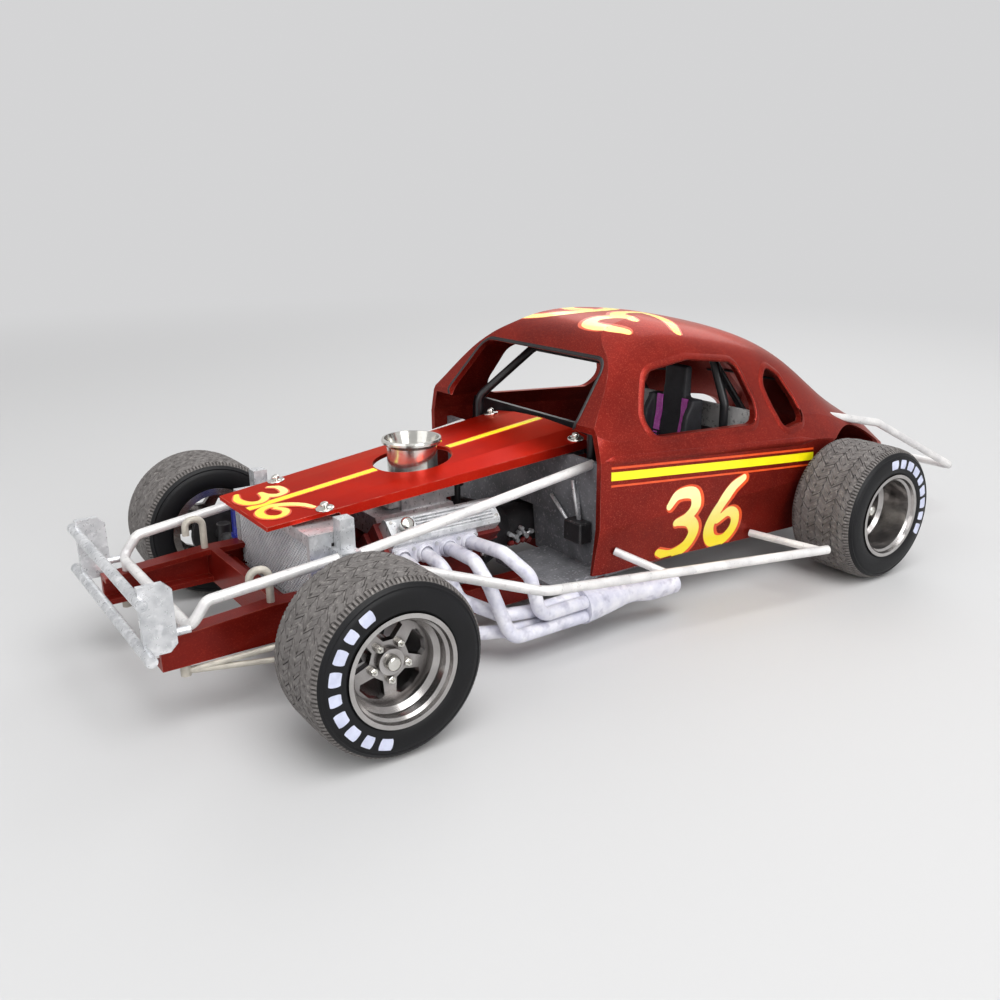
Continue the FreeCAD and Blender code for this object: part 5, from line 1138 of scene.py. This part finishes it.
# shoulder belts
beltLook = {
    "middles": (4.6, 11.4), "half": 0.78, "low": 18.2, "high": 35.6, "thick": 0.22, "rows": 46, "from": -66.8,
    "lift": 0.04, "wave": 0.05, "waveStep": 0.55, "buckle": 26.4, "buckleLift": 0.14,
    "section": ((-1, 0.02), (-1, 1.0), (-0.86, 1.06), (0.86, 1.06), (1, 1.0), (1, 0.02)),
    "barDeep": 0.26, "barChamfer": 0.06, "adjuster": (  # y, z, width and height of its bars
        (0, 0.62, 1.9, 0.28), (0, -0.62, 1.9, 0.28), (0, 0, 1.9, 0.22), (0.82, 0, 0.26, 1.5),
        (-0.82, 0, 0.26, 1.5),
    ),
}


def makeBelts(look):
    # two flat straps that lie on the seat's back, each with an adjuster
    bm = bmesh.new()
    adjusters = []
    step = (look["high"] - look["low"]) / look["rows"]
    for middle in look["middles"]:
        rings = []
        for k in range(look["rows"] + 1):
            z = look["low"] + step * k
            hit, out = landOn(surfaceOf("seat"), spot(look["from"], middle, z), Vector((-1, 0, 0)))
            if hit is None:
                continue
            wave = max(look["wave"] * math.sin(k * look["waveStep"] + middle), 0)
            ring = []
            for y, lift in look["section"]:
                place = hit + out * (look["lift"] + look["thick"] * lift + wave) * mm
                place.y = (middle + y * look["half"]) * mm
                ring.append(bm.verts.new(place))
            rings.append(ring)
            if abs(z - look["buckle"]) < step / 2:
                centre = hit + out * (look["thick"] + look["buckleLift"]) * mm
                centre.y = middle * mm
                adjusters.append((centre, tuple(Vector((1, 0, 0)).rotation_difference(out).to_euler())))
        joinRows(bm, rings, across=True)
        for end in (rings[0], rings[-1]):
            bm.faces.new(end)
    bmesh.ops.recalc_face_normals(bm, faces=bm.faces)
    straps = newPiece("shoulderBelts", bm, "beltPurple", "chassis", smooth=False)
    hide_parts("seat_belts")
    adjuster = bmesh.new()
    for y, z, wide, high in look["adjuster"]:
        part = block(look["barDeep"], wide, high, look["barChamfer"])
        part.transform(Matrix.Translation(Vector((0, y, z)) * mm))
        mesh = meshFrom(part, "adjusterBar")
        adjuster.from_mesh(mesh)
        bpy.data.meshes.remove(mesh)
    repeatPiece("beltAdjusters", adjuster, adjusters, "cageBlack", "chassis")


makeBelts(beltLook)
print("belts done")


# rubber round the windscreen, lips round the side windows
bodyRule = {"front": 46.8, "half": 27.2, "high": 51.2, "long": 88.2, "corner": 3.2}
windowRows = {  # corners as shares of the body's length or half width, and of its height
    "screen": ((0.745, 0.660), (0.665, 0.886), (-0.665, 0.886), (-0.745, 0.660)),
    "door": ((0.116, 0.642), (0.168, 0.842), (0.290, 0.862), (0.432, 0.828), (0.488, 0.606)),
    "quarter": ((0.517, 0.742), (0.549, 0.790), (0.592, 0.745), (0.624, 0.655), (0.632, 0.578),
                (0.545, 0.568)),
}
trimLook = {  # profiles are rows of (out from the edge, height over the panel)
    "rubber": ((0.05, 0.03), (0.1355, 0.16), (0.335, 0.24), (0.5345, 0.16), (0.62, 0.02)),
    "lip": ((0.04, 0.02), (0.1, 0.204), (0.275, 0.34), (0.5625, 0.3128), (0.9375, 0.136), (1.25, 0.01)),
    "corners": {"screen": 0.8, "door": 1.0, "quarter": 0.7}, "steps": 12, "straight": 10, "longest": 4.5,
    "from": -40,
}


def roundedLoop(corners, radius, steps, straight):
    # points and outward directions along a closed outline with rounded corners
    points = [np.array(c, float) for c in corners]
    if sum(a[0] * b[1] - a[1] * b[0] for a, b in zip(points, points[1:] + points[:1])) < 0:
        points.reverse()
    arcs = []
    for a, b, c in zip(points[-1:] + points[:-1], points, points[1:] + points[:1]):
        inWay, outWay = (b - a) / np.linalg.norm(b - a), (c - b) / np.linalg.norm(c - b)
        bend = math.acos(np.clip(inWay @ outWay, -1, 1))
        first = b - inWay * radius * math.tan(bend / 2)
        centre = first + np.array((-inWay[1], inWay[0])) * radius
        angles = math.atan2(*(first - centre)[::-1]) + np.linspace(0, bend, steps + 1)
        arcs.append([(centre + way * radius, way) for way in np.stack((np.cos(angles), np.sin(angles)), 1)])
    loop = []
    for arc, after in zip(arcs, arcs[1:] + arcs[:1]):
        end, way = arc[-1]
        loop += arc + [(end + (after[0][0] - end) * k / straight, way) for k in range(1, straight)]
    return loop


def trimLoop(name, loop, profile, place, finish, longest):
    rows = [[(*place(*(point + way * out)), lift) for out, lift in profile] for point, way in loop]
    laySkin(name, "coupe_body", rows, finish, "chassis", loop=True, longest=longest)


def makeTrim(rule, windows, look):
    for window, corners in windows.items():
        radius = rule["corner"] * look["corners"][window]
        if window == "screen":
            corners = [(rule["half"] * a, rule["high"] * b) for a, b in corners]
            loop = roundedLoop(corners, radius, look["steps"], look["straight"])
            place = lambda y, z: (spot(look["from"], y, z), Vector((-1, 0, 0)))
            trimLoop("screenRubber", loop, look["rubber"], place, "rubberTrim",
                     look["longest"])
            continue
        corners = [(-rule["front"] - rule["long"] * a, rule["high"] * b) for a, b in corners]
        loop = roundedLoop(corners, radius, look["steps"], look["straight"])
        for sign, word in sides:
            place = lambda x, z: fromSide(sign, x, z)
            trimLoop(window + "Lip" + word, loop, look["lip"], place, "candyRed",
                     look["longest"])


makeTrim(bodyRule, windowRows, trimLook)
print("window trim done")


# moulding along the belt of the body
mouldingLook = {
    "x": (-47.6, -104.0), "z": (30.6, 25.9), "steps": 120, "taper": (30, 12),
    "profile": ((-0.8, 0.01), (-0.5, 0.24), (0.0, 0.38), (0.5, 0.24), (0.8, 0.01)),
}


def makeMoulding(look):
    shares, along, high = (np.linspace(*run, look["steps"] + 1) for run in ((0, 1), look["x"], look["z"]))
    for sign, word in sides:
        rows = []
        for share, x, z in zip(shares, along, high):
            full = min(1.0, share * look["taper"][0], (1 - share) * look["taper"][1])
            rows.append([(*fromSide(sign, x, z + rise * full), lift * full)
                         for rise, lift in look["profile"]])
        laySkin("beltMoulding" + word, "coupe_body", rows, "candyRed", "chassis")


makeMoulding(mouldingLook)


# seat with rounded edges
seatLook = {"voxel": 0.3, "rounds": 7, "factor": 0.6}


def makeSeat(look):
    seat = addToScene("seatShell", cadNodes["seat"].data.copy())
    remesh = seat.modifiers.new("remesh", "REMESH")
    remesh.mode = "VOXEL"
    remesh.voxel_size = look["voxel"] * mm
    smooth = seat.modifiers.new("smooth", "SMOOTH")
    smooth.factor = look["factor"]
    smooth.iterations = look["rounds"]
    settle(seat)
    dress(seat, "seatBlack", "chassis", smooth=True)
    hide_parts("seat")


makeSeat(seatLook)
print("moulding and seat done")


# bell housing ring
bellLook = {
    "x": -37.2, "height": 12.4, "radius": 6.7, "in": 1.5, "out": 0.55, "thick": 0.8, "edge": 0.12,
    "steps": 56, "bolts": 12, "bolt": (0.36, 1.6),
}


def makeBell(look):
    outer, inner = look["radius"] + look["out"], look["radius"] - look["in"]
    half, edge = look["thick"] / 2, look["edge"]
    profile = [(inner, -half), (inner, half), (outer - edge, half), (outer, half - edge),
               (outer, edge - half)]
    bm = spinProfile(profile + [(outer - edge, -half)], look["steps"])
    place = Matrix.Translation(spot(look["x"], 0, look["height"]))
    bm.transform(place @ Matrix.Rotation(math.pi / 2, 4, "Z"))
    newPiece("bellRing", bm, "partsBlack", "chassis")
    bolt = hexBolt(*look["bolt"])
    bolt.transform(Matrix.Rotation(math.pi / 2, 4, "Y"))
    places = []
    for k in range(look["bolts"]):
        angle = 2 * math.pi * (k + 0.5) / look["bolts"]
        across, rise = look["radius"] * math.cos(angle), look["radius"] * math.sin(angle)
        places.append((spot(look["x"], across, look["height"] + rise), (0, 0, 0)))
    repeatPiece("bellBolts", bolt, places, "plateSilver", "chassis")


makeBell(bellLook)
print("bell housing ring done")


# linkage box and rods on the firewall, levers and lugs on the gearbox
linkLook = {
    "box": ((-47.2, 16.6, 14.2), (-49.95, 21.3, 18.1)), "chamfer": 0.25,
    "rods": (((-48.9, 19.0, 17.0), (-49.5, 16.3, 24.6)), ((-48.9, 17.2, 16.0), (-49.5, 10.2, 20.6))),
    "rodRadius": 0.34, "pinRadius": 0.42, "pin": (-0.4, 0.45),
    "levers": ((-44.4, 5.0, 12.2, 60), (-45.9, 4.7, 11.6, -20), (-47.2, 4.5, 12.4, 30),
               (-48.6, 4.4, 11.6, -60)),
    "lever": (0.68, 0.34, 1.9, 0.18), "pinRise": 0.722,
    "lugs": ((-44.2, 4.8, 10.6), (-45.9, 4.4, 10.4), (-47.4, 4.2, 10.5), (-48.9, 4.1, 10.2)),
    "lug": (1.2, 1.0, 0.9, 0.2), "lugTurn": (0.4, 0.3),
}


def makeLinks(look):
    low, high = (spot(*corner) for corner in look["box"])
    box = block(*[abs(a - b) / mm for a, b in zip(low, high)], look["chamfer"])
    box.transform(Matrix.Translation((low + high) / 2))
    newPiece("linkBox", box, "partsBlack", "chassis", smooth=False)
    rods = bmesh.new()
    for start, stop in look["rods"]:
        addRod(rods, spot(*start), spot(*stop), look["rodRadius"], 10)
    newPiece("linkRods", rods, "plateSilver", "chassis")
    lever = block(*look["lever"])
    for rise in (-look["pinRise"], look["pinRise"]):
        start, stop = (Vector((0, y, rise)) * mm for y in look["pin"])
        addRod(lever, start, stop, look["pinRadius"], 12)
    places = [(spot(x, y, z), (0, math.radians(turn), 0)) for x, y, z, turn in look["levers"]]
    repeatPiece("shiftLevers", lever, places, "plateSilver", "chassis")
    tip, roll = look["lugTurn"]
    places = [(spot(*p), (tip, roll * k, 0)) for k, p in enumerate(look["lugs"])]
    repeatPiece("gearboxLugs", block(*look["lug"]), places, "engineRed", "chassis")


makeLinks(linkLook)
print("linkage done")


# flange plates where the header pipes leave the heads
flangeLook = {
    "first": -16.2, "pitch": 4.33, "ports": 4, "y": 13.2, "z": (15.2, 18.5), "reach": 1.7, "thick": 0.8,
    "chamfer": 0.2, "collar": (1.25, 1.62), "collarHigh": 0.75, "collarDrop": 0.25, "collarSteps": 28,
    "bolt": (0.36, 0.6), "boltDrop": 0.7, "endBolt": 1.3,
}


def makeFlanges(look):
    ports = [look["first"] - look["pitch"] * k for k in range(look["ports"])]
    boltPlaces = ([x - look["pitch"] / 2 for x in ports[:-1]]
                  + [ports[0] + look["endBolt"], ports[-1] - look["endBolt"]])
    low, high = look["z"]
    middle = (low + high) / 2
    plates, collars, bolts = [], [], []
    for side, word in sides:
        face = side * (look["y"] + look["thick"] / 2)
        flip = (0, 0, 0) if side > 0 else (math.pi, 0, 0)
        plates.append((spot((ports[0] + ports[-1]) / 2, side * look["y"], middle), (0, 0, 0)))
        collars += [(spot(x, face, middle - look["collarDrop"]), flip) for x in ports]
        bolts += [(spot(x, face, high - look["boltDrop"]), (math.pi / 2, 0, 0)) for x in boltPlaces]
    plate = block(ports[0] - ports[-1] + look["reach"] * 2, look["thick"], high - low, look["chamfer"])
    repeatPiece("headerFlanges", plate, plates, "headerWhite", "chassis")
    inner, outer = look["collar"]
    top = look["collarHigh"]
    profile = [(inner, -0.2), (inner, top - 0.1), (inner + 0.12, top), (outer - 0.18, top * 0.8),
               (outer, top * 0.35)]
    ring = spinProfile(profile + [(outer, -0.2)], look["collarSteps"])
    repeatPiece("headerCollars", ring, collars, "headerWhite", "chassis", smooth=True)
    repeatPiece("flangeBolts", hexBolt(*look["bolt"]), bolts, "plateSilver", "chassis")


makeFlanges(flangeLook)
print("header flanges done")
